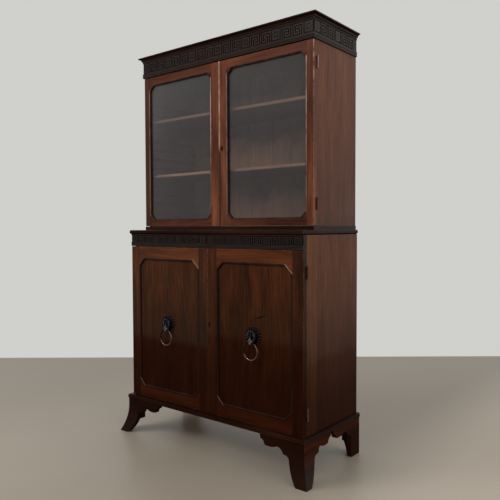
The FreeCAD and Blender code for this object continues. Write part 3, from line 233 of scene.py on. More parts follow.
def wood(name, node, along, tones, gloss=0.36, shine=0.3, wear=0.35, turned=None, extra=None, fine=0.38):
    """Polished wood for one piece. `turned` gives a mask and the other grain direction where the piece joins two,
    `extra` shades the colour, and `fine` is the share of fine streaks in the grain."""
    finish = Finish(name)
    place = finish.place()
    axes = finish.split(place)
    figure, streak, pore = grain(finish, place, along)
    if turned:
        share, other_way = turned(finish, axes)
        for_other = grain(finish, place, other_way)
        figure, streak, pore = [one + (other - one) * share for one, other in zip((figure, streak, pore), for_other)]
    dark, middle, light = tones
    tone = figure * (1.0 - fine) + streak * fine
    colour = finish.node("ShaderNodeValToRGB", {"stops": [(0.36, dark), (0.50, middle), (0.66, light)]}, {0: tone})
    colour = finish.mix(pore * 0.45, colour, dark)
    low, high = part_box(node)
    patches = finish.noise(place, 60.0, 3.0).ease(0.42, 0.62)
    # Pale arrises: wear in patches, and partly a painted highlight.
    rubbed = board_edges(axes, low, high, ARRIS) * (patches * 0.75 + 0.25) * wear
    colour = finish.mix(rubbed, colour, (0.34, 0.21, 0.15))
    if extra:
        colour = extra(finish, axes, colour)
    mottle = finish.noise(place, 9.0, 2.0)
    roughness = mottle * 0.16 + streak * 0.08 + pore * 0.12 + (gloss - 0.12)
    height = streak * 0.35 + (1.0 - pore) * 0.65
    return finish.surface(Base_Color=colour, Roughness=roughness, Specular_IOR_Level=shine,
                          Normal=finish.bump(height, 0.12 * MM, 0.35))


CARCASS = ((0.066, 0.018, 0.0080), (0.110, 0.032, 0.0145), (0.170, 0.056, 0.0270))
RED_FRAME = ((0.038, 0.0090, 0.0040), (0.122, 0.033, 0.0135), (0.250, 0.077, 0.0310))
CUPBOARD = ((0.018, 0.0030, 0.0005), (0.047, 0.0092, 0.0016), (0.096, 0.0235, 0.0044))
SASH = ((0.020, 0.0056, 0.0034), (0.044, 0.0130, 0.0075), (0.082, 0.0260, 0.0150))
DARK_RED = ((0.009, 0.0026, 0.0014), (0.019, 0.0054, 0.0028), (0.036, 0.0110, 0.0056))
BLACKENED = ((0.0064, 0.0036, 0.0028), (0.0110, 0.0062, 0.0048), (0.0190, 0.0112, 0.0086))
FADED = ((0.215, 0.105, 0.070), (0.360, 0.195, 0.135), (0.500, 0.300, 0.215))
SHELF_EDGE = ((0.290, 0.150, 0.095), (0.440, 0.250, 0.168), (0.590, 0.370, 0.260))
print("tones for 8 kinds of mahogany")

# %% [markdown]
# ## What age did to the case
# Wood that has stood in a house darkens towards the floor, bleaches where daylight falls, and gathers wax and dust.
# Each of these could be painted, but they follow from heights and faces, so each is a small function that shades a
# colour by where the point lies. A board then takes several of them in turn.

# %% Shades of age
def shade_painted_below(level, reach, least):
    """Painted shade: the wood is darkened towards the floor below a level, where less light reaches it."""
    def shade(finish, axes, colour):
        share = axes[Z].ease(level - reach, level, 1.0 - least, 0.0)
        return finish.mix(share, colour, (0.0135, 0.0030, 0.0007))
    return shade


def reflection_painted_above(level, veil):
    """Painted reflection: a thin grey veil above a level, where the polish would reflect the pale wall, and none below
    it.
    """
    def shade(finish, axes, colour):
        return finish.mix(axes[Z].ease(level - 15 * MM, level + 30 * MM), colour, veil, "ADD")
    return shade


def yellower_plank(node, width):
    """The side is of two planks, and the front one is yellower."""
    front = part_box(node)[0].y

    def shade(finish, axes, colour):
        share = axes[Y].ease(front + width + 9 * MM, front + width - 9 * MM)
        return finish.mix(share, colour, finish.tint(colour, (1.30, 1.45, 1.12)))
    return shade


def light_painted_upwards(finish, axes, colour):
    """Painted light and shade: the upper part of the glazed case is lighter and its lower part darker, as light falls
    from high up.
    """
    below = finish.tint(colour, (0.88, 0.94, 0.87))
    above = finish.tint(colour, (1.15, 1.19, 1.18))
    return finish.mix(axes[Z].ease(1.12, 1.55), below, above)


def in_turn(*shades):
    """Several shades, one over another."""
    def shade(finish, axes, colour):
        for one in shades:
            colour = one(finish, axes, colour)
        return colour
    return shade


def plain_inside(node):
    """Inside the case a side is unpolished and dusty, with a painted shadow just under the shelves."""
    low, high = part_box(node)
    inner = min(abs(low.x), abs(high.x))

    def shade(finish, axes, colour):
        inside = abs(axes[X]).ease(inner + MM, inner + 0.5 * MM)
        return finish.mix(inside * 0.8, colour, shelf_shadow(finish, axes, (0.230, 0.135, 0.100)))
    return shade


def pale_edge_shaded_faces(node):
    """Only the front edge of a shelf is pale: the faces behind it are darkened grey, a painted shade standing for the
    shade on their undersides.
    """
    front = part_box(node)[0].y

    def shade(finish, axes, colour):
        return finish.mix(axes[Y].ease(front + 2 * MM, front + 4 * MM) * 0.9, colour, (0.105, 0.062, 0.048))
    return shade


undersides = [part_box(node)[0].z for node in ("upper_shelf_low", "upper_shelf_high", "upper_top_board")]


def shelf_shadow(finish, axes, colour):
    """Painted shadow: a cloudy dark band below each shelf, where the shelf shades the wood."""
    cloud = finish.noise(finish.place(), 7.0, 3.0).ease(0.3, 0.7, -45 * MM, 45 * MM)
    for underside in undersides:
        below = underside - axes[Z]
        share = (below + cloud).ease(160 * MM, 60 * MM) * below.ease(-MM, MM)
        colour = finish.mix(share * 0.7, colour, (0.052, 0.047, 0.046))
    return colour


def pin_knot(x, z):
    """A small knot in the veneer, drawn out into a dark slanting flame."""
    def shade(finish, axes, colour):
        across, up = axes[X] - x, axes[Z] - z
        along = abs(across * 0.95 + up * 0.3) * 0.16
        off = abs(up * 0.95 - across * 0.3)
        ragged = finish.noise(finish.place(), 90.0, 2.0) * 3.5 * MM
        return finish.mix((along + off + ragged).ease(9.5 * MM, 4 * MM) * 0.85, colour, (0.008, 0.0025, 0.0015))
    return shade


CUPBOARD_TOP = 0.86       # the cupboard is lightest from here up
# Painted shade towards the floor and a painted reflection of the wall above a level, for the cupboard doors
lowered = {"left": in_turn(shade_painted_below(CUPBOARD_TOP, 0.55, 0.20), reflection_painted_above(0.47, (0.006, 0.0085, 0.006))),
           "right": in_turn(shade_painted_below(CUPBOARD_TOP, 0.55, 0.20), reflection_painted_above(0.53, (0.006, 0.006, 0.004)))}
# The lower sides: painted shade below, the yellower front plank, and a painted reflection above
lower_side = in_turn(shade_painted_below(CUPBOARD_TOP, 0.60, 0.17), yellower_plank("lower_side_right", 70 * MM),
                     reflection_painted_above(0.47, (0.008, 0.0105, 0.0085)))
print("shades of age for the case and the cupboard doors")

# %% [markdown]
# ## The case
# Sides have upright grain, shelves and cross boards lie with their grain along the case, and a moulding's grain
# always follows its own run, so it turns the corner at the mitre. One material per kind would be shorter, but the
# rubbed arrises need each board's own box, so a loop makes one for every board from a table.

# %% Case boards
def run_turned(node, lip):
    """A moulding's grain turns along Y where it runs back down the sides of the case."""
    low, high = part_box(node)

    def mask(finish, axes):
        into_side = abs(axes[X]) - (high.x - lip)
        into_front = (low.y + lip) - axes[Y]
        return (into_side - into_front).ease(0.0, 0.4 * MM), Y
    return mask


boards = {
    # The upper sides: painted light above, painted shade at the foot of the right one, and an unpolished inside
    "upper_side_left": (Z, CARCASS, 0.40, in_turn(light_painted_upwards, plain_inside("upper_side_left"))),
    "upper_side_right": (Z, CARCASS, 0.40, in_turn(light_painted_upwards, shade_painted_below(1.08, 0.09, 0.75),
                                                   plain_inside("upper_side_right"))),
    "lower_side_left": (Z, CARCASS, 0.36, lower_side), "lower_side_right": (Z, CARCASS, 0.36, lower_side),
    "upper_bottom_board": (X, FADED, 0.5, None), "upper_top_board": (X, FADED, 0.5, pale_edge_shaded_faces("upper_top_board")),
    "lower_bottom_board": (X, FADED, 0.5, None), "lower_shelf": (X, FADED, 0.5, None),
    "upper_shelf_low": (X, SHELF_EDGE, 0.45, pale_edge_shaded_faces("upper_shelf_low")),
    "upper_shelf_high": (X, SHELF_EDGE, 0.45, pale_edge_shaded_faces("upper_shelf_high")),
    "lower_frieze_rail": (X, BLACKENED, 0.4, None),
}
for node, (along, tones, gloss, extra) in boards.items():
    shine = 0.1 if node.startswith("lower_side") else 0.25
    fine = 0.58 if "_side_" in node else 0.38
    dress(node, wood(node + "_wood", node, along, tones, gloss, shine, extra=extra, fine=fine))
mouldings = (("base_moulding", 18 * MM, 0.08), ("cornice_moulding", 16 * MM, 0.2),
             ("upper_plinth_moulding", 3 * MM, 0.2), ("lower_top_board", 0.0, 0.12))
for node, lip, shine in mouldings:
    turned = run_turned(node, lip) if lip else None
    dress(node, wood(node + "_wood", node, X, DARK_RED, 0.36, shine, 0.25, turned))
print(len(boards), "boards and", len(mouldings), "moulded pieces of the case")

# %% [markdown]
# ## Bracket feet
# A bracket foot is sawn from boards whose grain runs along the case, mitred at the corner. The grain direction
# changes at the mitre. The splayed toes are the most knocked parts of a case.

# %% Feet
SPLAYED, FOOT_BOARD = 53 * MM, 22 * MM      # how far in a foot's side arm begins, in front and at the rear
for node in ("foot_front_left", "foot_front_right", "foot_rear_left", "foot_rear_right"):
    low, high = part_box(node)
    in_front = "front" in node
    arm_begins = max(abs(low.x), abs(high.x)) - (SPLAYED if in_front else FOOT_BOARD)

    def side_arm(finish, axes, begins=arm_begins, mitre=low.y + SPLAYED if in_front else None):
        """The arm along the side of the case; in front a mitre parts it from the other arm."""
        into_arm = abs(axes[X]) - begins
        if mitre is not None:
            into_arm = into_arm - (mitre - axes[Y])
        return into_arm.ease(-0.5 * MM, 0.5 * MM), Y

    def shadow_painted_front(finish, axes, colour, arm=side_arm):
        """Painted shadow under the overhang in front, least of all on the toes."""
        share = (1.0 - arm(finish, axes)[0]) * axes[Z].ease(0.0, 0.14, 0.25, 0.8)
        return finish.mix(share, colour, (0.010, 0.0025, 0.0008))

    # The feet take painted shade towards the floor, and the front ones a painted shadow under the overhang.
    shades = (shade_painted_below(0.19, 0.17, 0.22), shadow_painted_front) if in_front else (shade_painted_below(0.19, 0.17, 0.3),)
    dress(node, wood(node + "_wood", node, X, CUPBOARD, 0.38, 0.15, 0.3, side_arm, in_turn(*shades)))
print("4 feet")

# %% [markdown]
# ## Back boards
# The back is of thin upright boards with a V joint between them, left unpolished and seen through the glass. Each
# board is cut from another plank, so the pattern jumps at every joint: the plank's number shifts the grain.

# %% Back and dust boards
PLANKS = 9


def plank_wood(name, node, width, shelved):
    """Unpolished planks of one width; `shelved` adds the painted shadow below the shelves."""
    finish = Finish(name)
    place = finish.place()
    axes = finish.split(place)
    number = ((axes[X] + 2.0) * (1.0 / width)).floor()
    shift = finish.node("ShaderNodeCombineXYZ", None, {"X": number * 0.37, "Z": number * 1.73})
    moved = finish.node("ShaderNodeVectorMath", {"operation": "ADD"}, {0: place, 1: shift})
    figure, streak, pore = grain(finish, moved, Z)
    tone = figure * 0.6 + streak * 0.4
    dark, middle, light = FADED
    colour = finish.node("ShaderNodeValToRGB", {"stops": [(0.25, dark), (0.5, middle), (0.75, light)]}, {0: tone})
    colour = finish.mix(pore * 0.4, colour, dark)
    if shelved:
        inside = (axes[Y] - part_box(node)[0].y).ease(4 * MM, 3 * MM)
        colour = finish.mix(inside, colour, shelf_shadow(finish, axes, colour))
    return finish.surface(Base_Color=colour, Roughness=streak * 0.1 + 0.6, Specular_IOR_Level=0.2,
                          Normal=finish.bump(streak + (1.0 - pore), 0.15 * MM, 0.4))


for case in ("upper", "lower"):
    node = case + "_back_boards"
    low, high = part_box(node)
    dress(node, plank_wood(case + "_back_wood", node, (high.x - low.x) / PLANKS, case == "upper"))
dress("dust_board", wood("dust_board_wood", "dust_board", X, FADED, 0.7, 0.1))
print("2 backs of", PLANKS, "boards and the dust board")

# %% [markdown]
# ## Wear and painted light on the doors
# Hands and cloths wear a door where they touch it, on the outer arris. The pale lines on the meeting bead, at the
# right of each pane and on the canted corners of the panel mouldings are painted highlights, and the outer stile of
# the left door is darkened by painted shade. Each is a narrow zone of the piece's own box, broken up by noise, and
# shades the colour like the painted light and shade on the case.

# %% Shades for the doors
HALF_WIDTH = {"upper": 0.499, "lower": 0.508}       # of the two cases over their sides


def bead_highlight_painted(finish, axes, colour):
    """Painted highlight: the bead at the meeting edge is pale above the keyhole and less so below it."""
    patches = finish.noise(finish.place(), 26.0, 3.0).ease(0.35, 0.60, 0.55, 1.0)
    return finish.mix(patches * axes[Z].ease(1.335, 1.40, 0.05, 0.95), colour, (0.56, 0.32, 0.21))


def rubbed_corner(node, width):
    """The outer arris that every passer-by touches: bare in patches, most of all near the top."""
    low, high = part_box(node)

    def shade(finish, axes, colour):
        near_arris = (abs(axes[X]) - (high.x - width)).ease(0.0, 0.6 * MM)
        on_front = (axes[Y] - (low.y + width)).ease(0.6 * MM, 0.0)
        patches = finish.noise(finish.place(), 30.0, 3.0).ease(0.44, 0.56)
        return finish.mix(near_arris * on_front * patches * axes[Z].ease(1.50, 1.66, 0.12, 0.85), colour,
                          (0.40, 0.27, 0.22))
    return shade


def lit_edge(node, width):
    """Painted light: a pale highlight on the right of each pane, and a paler painted reflection along its left."""
    inner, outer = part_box(node)[0].x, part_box(node)[1].x

    def shade(finish, axes, colour):
        near_edge = (axes[X] - (outer - width)).ease(-0.5 * MM, 0.5 * MM)
        patches = finish.noise(finish.place(), 22.0, 2.0).ease(0.3, 0.6, 0.4, 1.0)
        colour = finish.mix(near_edge * patches * axes[Z].ease(1.25, 1.50, 0.35, 0.9), colour, (0.44, 0.29, 0.25))
        other_edge = (axes[X] - (inner + width)).ease(MM, -MM)
        return finish.mix(other_edge * patches * 0.7, colour, (0.26, 0.155, 0.13))
    return shade


def stile_in_painted_shade(reach):
    """Painted shade: the outer stile of the left door is darkened."""
    edge = -HALF_WIDTH["upper"]

    def shade(finish, axes, colour):
        return finish.mix(axes[X].ease(edge + reach, edge + reach * 0.7) * 0.8, colour, (0.036, 0.015, 0.010))
    return shade


def cant_highlights_painted(node, width):
    """Painted highlights: the panel moulding is pale at two of its canted corners, where its bead catches the light.
    """
    low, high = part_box(node)

    def shade(finish, axes, colour):
        low_corner = (axes[X] - low.x) + (axes[Z] - low.z)
        high_corner = (high.x - axes[X]) + (high.z - axes[Z])
        near_corner = low_corner.least(high_corner).ease(width * 1.15, width)
        return finish.mix(near_corner * 0.8, colour, (0.30, 0.20, 0.14))
    return shade


print("shades of wear for the doors")

# %% [markdown]
# ## Doors
# A door is a frame of upright stiles and level rails round glass or a panel. The grain turns at each shoulder line,
# which is what makes a frame read as joinery. Each stile and rail could have a material of its own, but a frame is
# one piece here, so a mask switches the grain between the stiles, gives the rails their own tone, and draws the
# hairline at the shoulders.

# %% Door frames and panels
def rails_turned(inner):
    """Grain along X between the stiles, whose inner edges are given."""
    def mask(finish, axes):
        into_rails = (axes[X] - inner[0]).least(inner[1] - axes[X])
        return into_rails.ease(-0.2 * MM, 0.2 * MM), X
    return mask


def seam_shadow(inner, tone_of_rails, below):
    """The hairline at the shoulders, with an own tone for the rails."""
    def shade(finish, axes, colour):
        if below:
            colour = below(finish, axes, colour)
        into_rails = (axes[X] - inner[0]).least(inner[1] - axes[X])
        share = into_rails.ease(-0.2 * MM, 0.2 * MM)
        colour = finish.mix(share, colour, finish.tint(colour, tone_of_rails))
        return finish.mix(abs(into_rails).ease(0.7 * MM, 0.1 * MM) * 0.7, colour, (0.01, 0.004, 0.002))
    return shade


# Factors that make the rails of a door darker or lighter than its stiles
RAIL_TONES = {"upper_door_left": (0.55, 0.50, 0.48), "upper_door_right": (0.80, 0.75, 0.70),
              "lower_door_left": (1.70, 1.60, 1.50), "lower_door_right": (1.70, 1.60, 1.50)}
for side in ("left", "right"):
    for case, tones, shine in (("upper", RED_FRAME, 0.25), ("lower", CUPBOARD, 0.12)):
        door = case + "_door_" + side
        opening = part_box(door + ("_glazing_moulding" if case == "upper" else "_panel"))
        inner = (opening[0].x, opening[1].x)
        # lowered adds the painted shade and the painted reflection to the frames of the cupboard doors
        shade = seam_shadow(inner, RAIL_TONES[door], lowered[side] if case == "lower" else None)
        if door == "upper_door_right":
            shade = in_turn(shade, rubbed_corner(door + "_frame", 3.0 * MM))
        if door == "upper_door_left":
            shade = in_turn(shade, stile_in_painted_shade(50 * MM))
        dress(door + "_frame", wood(door + "_frame_wood", door + "_frame", Z, tones, 0.34, shine, 0.35,
                                    rails_turned(inner), shade))
    panel = "lower_door_" + side + "_panel"
    veneer = in_turn(lowered[side], pin_knot(0.293, 0.639)) if side == "right" else lowered[side]
    dress(panel, wood("panel_wood_" + side, panel, Z, CUPBOARD, 0.34, 0.1, 0.0, None, veneer, 0.62))
    moulding = panel + "_moulding"
    dress(moulding, wood("panel_moulding_wood_" + side, moulding, Z, DARK_RED, 0.3, 0.4, 0.3, None,
                         cant_highlights_painted(moulding, 37 * MM)))
    sash = "upper_door_" + side + "_glazing_moulding"
    dress(sash, wood("glazing_wood_" + side, sash, Z, SASH, 0.26, 0.4, 0.2, None, lit_edge(sash, 5 * MM)))
dress("meeting_bead", wood("meeting_bead_wood", "meeting_bead", Z, DARK_RED, 0.3, 0.4, 0.3, None, bead_highlight_painted))
print("4 doors")

# %% [markdown]
# ## Glass
# The panes are thin window glass with a haze of dust and small waves. A Transmission shader would bend light and
# need caustics to light the shelves, so the pane is a see-through grey surface instead: low alpha, a little more of
# it at a glancing angle, as glass reflects more there, and more towards the top, a painted reflection of the room.

# %% Panes
def pane():
    """Thin old glass: see-through and a little wavy, with a grey veil that is partly dust haze and partly a painted
    reflection of the room, heavier towards the top.
    """
    finish = Finish("old_glass")
    place = finish.place()
    haze = finish.noise(place, 7.0, 3.0)
    glance = finish.node("ShaderNodeLayerWeight", None, {"Blend": 0.25}, "Fresnel")
    room_reflection_painted = finish.split(place)[Z].ease(1.35, 1.72, 0.0, 0.08)
    see = haze * 0.12 + glance * 0.25 + room_reflection_painted + 0.14
    waves = finish.noise(stretched(finish, place, Z, 3.0), 14.0, 1.0)
    return finish.surface(Base_Color=(0.155, 0.150, 0.152, 1.0), Roughness=haze * 0.06 + 0.04, Alpha=see,
                          Specular_IOR_Level=0.5, Normal=finish.bump(waves, 0.4 * MM, 0.3))


glass = pane()
for side in ("left", "right"):
    dress("upper_door_" + side + "_glass", glass)
print("2 panes")

# %% [markdown]
# ## Blind fret
# The fret is sawn out, glued to the frieze and stained nearly black; its raised faces are a little greyer than the
# ground, partly from dust and rubbing and partly as a painted highlight. The relief is real geometry, so the material
# only needs to know how deep a point lies. A painted highlight on the crown of each reed, the darkened quirks between
# them, and the fine stained line on each tablet follow from the fret's own measures.

# %% Fret finish
REPEAT, TABLET = 30.0, 7.0        # in bars of the fret: a whole repeat and its square tablet
ROWS, TABLET_ROW = 9, 5.5         # bars that the fret is high, and the level of a tablet's middle
TABLET_LINE = 1.6                 # how far the stained line lies from a tablet's middle, in bars
MARGIN, HEAD_GAP = 6 * MM, 3 * MM


def fret_wood(node, along, depth_axis, outwards, pitch, reed_rows, start, bar):
    """start is where the first tablet begins along the run; reed_rows counts the reeds below and above the fret."""
    low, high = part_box(node)
    face = high[depth_axis] if outwards > 0 else low[depth_axis]
    rows_below, rows_above = reed_rows
    bar_v = (high.z - low.z - (rows_below + rows_above) * pitch - HEAD_GAP) / ROWS
    tablet_middle = low.z + rows_below * pitch + bar_v * TABLET_ROW
    dust_and_highlight = (0.030, 0.0195, 0.0170) if node.startswith("lower") else (0.040, 0.0265, 0.0230)

    def ground(finish, axes, colour):
        depth = (face - axes[depth_axis]) * outwards
        raised = depth.ease(1.6 * MM, 0.4 * MM)
        dusty = finish.noise(finish.place(), 220.0, 2.0).ease(0.4, 0.7)
        # Raised faces greyer: dust and rubbing, and partly a painted highlight
        colour = finish.mix(raised * (dusty * 0.5 + 0.5), colour, dust_and_highlight)
        from_low, from_high = axes[Z] - low.z, high.z - axes[Z]
        # On the reeds: a painted highlight on each crown, and the quirks between them darkened
        for distance, rows in ((from_low, rows_below), (from_high, rows_above)):
            from_quirk = abs((distance * (1.0 / pitch) + 0.5).fraction() - 0.5)
            in_rows = distance.ease(rows * pitch + MM, rows * pitch + 0.5 * MM)
            colour = finish.mix(from_quirk.ease(0.3, 0.45) * in_rows * 0.7, colour, (0.055, 0.036, 0.030))
            colour = finish.mix(from_quirk.ease(0.28, 0.16) * in_rows * 0.9, colour, (0.003, 0.0016, 0.0013))
        run = abs(axes[along]) if start > 0 else axes[along]
        bars = ((run - start) * (1.0 / bar / REPEAT)).fraction() * REPEAT
        across = abs(bars - TABLET * 0.5)
        upwards = abs(axes[Z] - tablet_middle) * (1.0 / bar_v)
        line = abs(across.most(upwards) - TABLET_LINE).ease(0.75, 0.45)
        return finish.mix(line * raised * 0.85, colour, (0.004, 0.0022, 0.0018))
    return wood(node + "_wood", node, along, BLACKENED, 0.30, 0.22, 0.3, None, ground)


print("fret finish ready")

# %% [markdown]
# ## Friezes
# The upper frieze carries six repeats and a last tablet along its front, and runs on round both corners. The lower
# one is two strips that meet in the middle, with three repeats each. The finish has to fall in step with the relief,
# so the length of one bar is worked out from the run of each.

# %% Friezes
UPPER_REPEATS, STRIP_REPEATS = 6, 3
HALF_JOINT = 0.25 * MM            # half the gap where the two strips meet
front_low, front_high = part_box("upper_frieze_front")
upper_bar = (front_high.x - front_low.x - 2 * MARGIN) / (UPPER_REPEATS * REPEAT + TABLET)
for node, along, depth_axis, outwards, run_start in (
        ("upper_frieze_front", X, Y, -1, front_low.x), ("upper_frieze_right", Y, X, 1, front_low.y),
        ("upper_frieze_left", Y, X, -1, front_low.y)):
    dress(node, fret_wood(node, along, depth_axis, outwards, 5.2 * MM, (3, 2), run_start + MARGIN, upper_bar))
strip_start = HALF_JOINT + MARGIN
strip_bar = (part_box("lower_fret_strips")[1].x - strip_start - MARGIN) / (STRIP_REPEATS * REPEAT + TABLET)
dress("lower_fret_strips", fret_wood("lower_fret_strips", X, Y, -1, 5.0 * MM, (3, 1), strip_start, strip_bar))
print("3 frieze pieces and the lower fret")

# %% [markdown]
# ## Brass and bronze
# Hinges, locks and bolts are brass that has browned; the lion masks are cast and nearly black, with the high points
# rubbed silvery, and the rings are worn by hands to a warmer brass. Metal is one shader whose colour and roughness
# drift with noise; the rubbed share comes from an attribute or from plain noise.

# %% Metals
def metal(name, dull, bright, coverage, roughness, rubbed_by=None, worn_part=None, tarnished=0.6):
    """`coverage` is how much of it is bright, `rubbed_by` an attribute that says where instead, and `worn_part` a
    function that limits it to a part of the piece."""
    finish = Finish(name)
    place = finish.place()
    spots = finish.noise(place, 130.0, 4.0, 0.6)
    cloud = finish.noise(place, 35.0, 2.0)
    rubbed = (spots * 0.5 + cloud * 0.5).ease(0.62 - coverage * 0.3, 0.72 - coverage * 0.3)
    if rubbed_by:
        worn = finish.node("ShaderNodeAttribute", {"attribute_name": rubbed_by}, output="Fac")
        rubbed = (worn * (spots * 0.7 + 0.65)).ease(0.32, 0.80)
    if worn_part:
        rubbed = worn_part(finish, finish.split(place), rubbed)
    colour = finish.mix(rubbed, dull, bright)
    return finish.surface(Base_Color=colour, Metallic=rubbed * (0.95 - tarnished) + tarnished,
                          Roughness=roughness + (1.0 - rubbed) * 0.22, Normal=finish.bump(spots, 0.05 * MM, 0.5))


brass = metal("aged_brass", (0.055, 0.037, 0.022), (0.36, 0.27, 0.17), 0.35, 0.3)
dark_brass = metal("dark_brass", (0.014, 0.010, 0.008), (0.30, 0.22, 0.16), 0.1, 0.3)


def pale_above(level):
    """Only the hinges above a level are pale and bright."""
    def worn(finish, axes, rubbed):
        return rubbed.most(axes[Z].ease(level, level + 10 * MM))
    return worn


def bright_low_and_right(middle):
    """A ring is bright on its lower part and right side; its upper left stays dark."""
    def worn(finish, axes, rubbed):
        lean = (axes[X] - middle.x) * 0.8 - (axes[Z] - middle.z)
        return rubbed * lean.ease(-22 * MM, 6 * MM)
    return worn


hinge_brass = metal("hinge_brass", (0.140, 0.050, 0.028), (0.48, 0.38, 0.33), 0.1, 0.4, None, pale_above(1.6), 0.15)
mask_bronze = metal("mask_bronze", (0.004, 0.0035, 0.004), (0.66, 0.62, 0.64), 0.5, 0.2, "rubbed")
ring_bronze = {}
for side in ("left", "right"):
    low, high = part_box("pull_ring_" + side)
    ring_bronze[side] = metal("ring_bronze_" + side, (0.030, 0.014, 0.010), (0.56, 0.38, 0.31), 0.95, 0.2, None,
                              bright_low_and_right((low + high) / 2))
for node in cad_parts:
    if any(word in node for word in ("hinge", "lock", "bolt")):
        dress(node, hinge_brass if "hinge" in node else dark_brass if node.endswith("_lock") else brass)
    if node.startswith("lion_mask"):
        dress(node, mask_bronze)
    if node.startswith("pull_ring"):
        dress(node, ring_bronze["left" if node.endswith("left") else "right"])
print("4 metals and one for each ring")

# %% [markdown]
# ## Lion masks
# The handles are cast lion heads that hold a ring in the mouth: a deep brow, a broad nose, heavy whisker pads and a
# collar of curling locks. A flat relief cannot hang over the ring, so the head is built up like clay: overlapping
# rounded lumps and tapering locks, fused by a voxel remesh and smoothed. One small ball is copied for every lump.

# %% Lumps and locks
BEADS = 18                # lumps in one lock of the mane


def as_mesh(name, bm):
    """Ends a bmesh as a plain mesh."""
    mesh = bpy.data.meshes.new(name)
    bm.to_mesh(mesh)
    bm.free()
    return mesh


bm = bmesh.new()
bmesh.ops.create_uvsphere(bm, u_segments=14, v_segments=9, radius=1.0)
pebble = as_mesh("pebble", bm)


def lump(clay, centre, radii, turn=0.0):
    """A rounded lump at (right, up, forward) from the mask's middle, in millimetres."""
    right, up, forward = centre
    size = Matrix.Diagonal((radii[0], radii[2], radii[1], 1.0))
    shape = pebble.copy()
    shape.transform(Matrix.Translation((right, -forward, up)) @ Matrix.Rotation(math.radians(turn), 4, "Y") @ size)
    clay.from_mesh(shape)
    bpy.data.meshes.remove(shape)


def both(clay, centre, radii, turn=0.0):
    """The same lump on both sides of the face."""
    right, up, forward = centre
    lump(clay, (right, up, forward), radii, turn)
    lump(clay, (-right, up, forward), radii, -turn)


def lock(clay, angle, start, end, swing, thick, thin, rise, fall):
    """One lock of the mane: it leaves the face at an angle, swells, and turns as it tapers to its tip."""
    for bead in range(BEADS):
        share = bead / (BEADS - 1)
        reach = start + (end - start) * share
        heading = math.radians(angle + swing * math.sin(share * math.pi * 1.1))
        radius = thick * (0.75 + 0.5 * math.sin(share * math.pi * 0.8)) * (1 - share) + thin * share
        forward = rise + (fall - rise) * share + 1.2 * math.sin(share * math.pi)
        lump(clay, (reach * math.sin(heading), reach * math.cos(heading), forward), (radius, radius, radius * 0.9))


print("a ball of", len(pebble.polygons), "faces for the lumps")

# %% [markdown]
# ## The head in clay
# A modeller starts from the back plate, builds the skull, then the brow, the long nose and the muzzle, and lays the
# mane round them last. The order is the same here. Lengths are millimetres on the mask, so they read like a drawing,
# and the mane is three rings of locks that overlap and turn opposite ways.

# %% Clay
def lion_clay():
    clay = bmesh.new()
    plate = bmesh.ops.create_cone(clay, cap_ends=True, segments=44, radius1=31.5, radius2=30.0, depth=5.0)["verts"]
    bmesh.ops.transform(clay, matrix=Matrix.Translation((0, -1.5, 0)) @ Matrix.Rotation(math.pi / 2, 4, "X"),
                        verts=plate)
    lump(clay, (0, 3, 3), (20, 23, 12))                     # skull
    lump(clay, (0, 13, 9), (12, 8, 7))                      # forehead
    both(clay, (7.0, 9.6, 14.0), (7.6, 2.9, 3.6), -17)      # brow
    both(clay, (8.0, 5.0, 14.0), (3.0, 2.5, 2.6))           # eye
    both(clay, (8.6, 1.9, 12.8), (5.2, 1.5, 2.4), 14)       # lower lid
    both(clay, (12.5, -6, 12.0), (7.5, 9.5, 7.0))           # cheek
    lump(clay, (0, 1, 3.5), (28, 28, 8.5))                  # mane's ground
    for step in range(15):                                  # bridge of the nose
        share = step / 14
        lump(clay, (0, 9 - 21 * share, 14.5 + 7.5 * share), (3.2 + 1.8 * share, 3.4, 3.6))
    lump(clay, (0, -14.2, 24.0), (6.2, 3.1, 3.3))           # nose
    both(clay, (4.4, -16.0, 22.6), (2.7, 2.2, 2.9))         # nostril
    lump(clay, (0, -24, 11), (11.5, 11.5, 13))              # snout
    both(clay, (5.6, -20.8, 20.3), (6.6, 5.0, 6.2), 20)     # whisker pad
    lump(clay, (0, -31.0, 20.0), (8.6, 5.2, 6.9))           # lower jaw
    lump(clay, (0, -27.5, 17.0), (10.6, 7.5, 9.4))          # corners of the mouth
    both(clay, (18.5, 19.5, 9.0), (6.0, 6.4, 4.6), 30)      # ear
    both(clay, (18.0, 18.9, 13.4), (2.4, 3.6, 1.6), 30)     # ear's inner fold
    for number in range(19):                                # outer locks
        lock(clay, 360 * (number + 0.5) / 19, 22.5, 37.5, 10, 5.6, 2.3, 9.0, 4.5)
    for number in range(17):                                # middle locks
        angle = 360 * number / 17
        if abs(angle - 180) > 24:
            lock(clay, angle, 19.0, 32.5, -12, 4.9, 2.1, 14.0, 9.5)
    for number in range(13):                                # locks round the face
        angle = 360 * (number + 0.5) / 13
        if abs(angle - 180) > 45:
            lock(clay, angle, 16.0, 27.0, 14, 4.0, 1.8, 16.0, 13.5)
    for number in range(-2, 3):                             # forelock
        lock(clay, 13 * number, 12.0, 23.5, 8 * number, 2.9, 1.6, 16.0, 15.5)
    for number in range(-1, 2):                             # beard
        lock(clay, 180 + 11 * number, 26.0, 34.2, 3 * number, 3.6, 2.0, 11.0, 6.0)
    return clay


print("clay for the masks ready")

# %% [markdown]
# ## Casting and boring
# The lumps still pass through each other, and a union of hundreds of balls by Boolean would be slow and fragile. A
# voxel remesh gives one skin at once, and a few turns of smoothing take its steps away. The back is then sliced flat
# and the mouth bored across, wide enough for the wire of the ring, with the measures of the construction.

# %% Fuse, smooth and bore
def in_scene(name, data):
    """An object for the data, linked to the scene."""
    made = bpy.data.objects.new(name, data)
    bpy.context.scene.collection.objects.link(made)
    return made


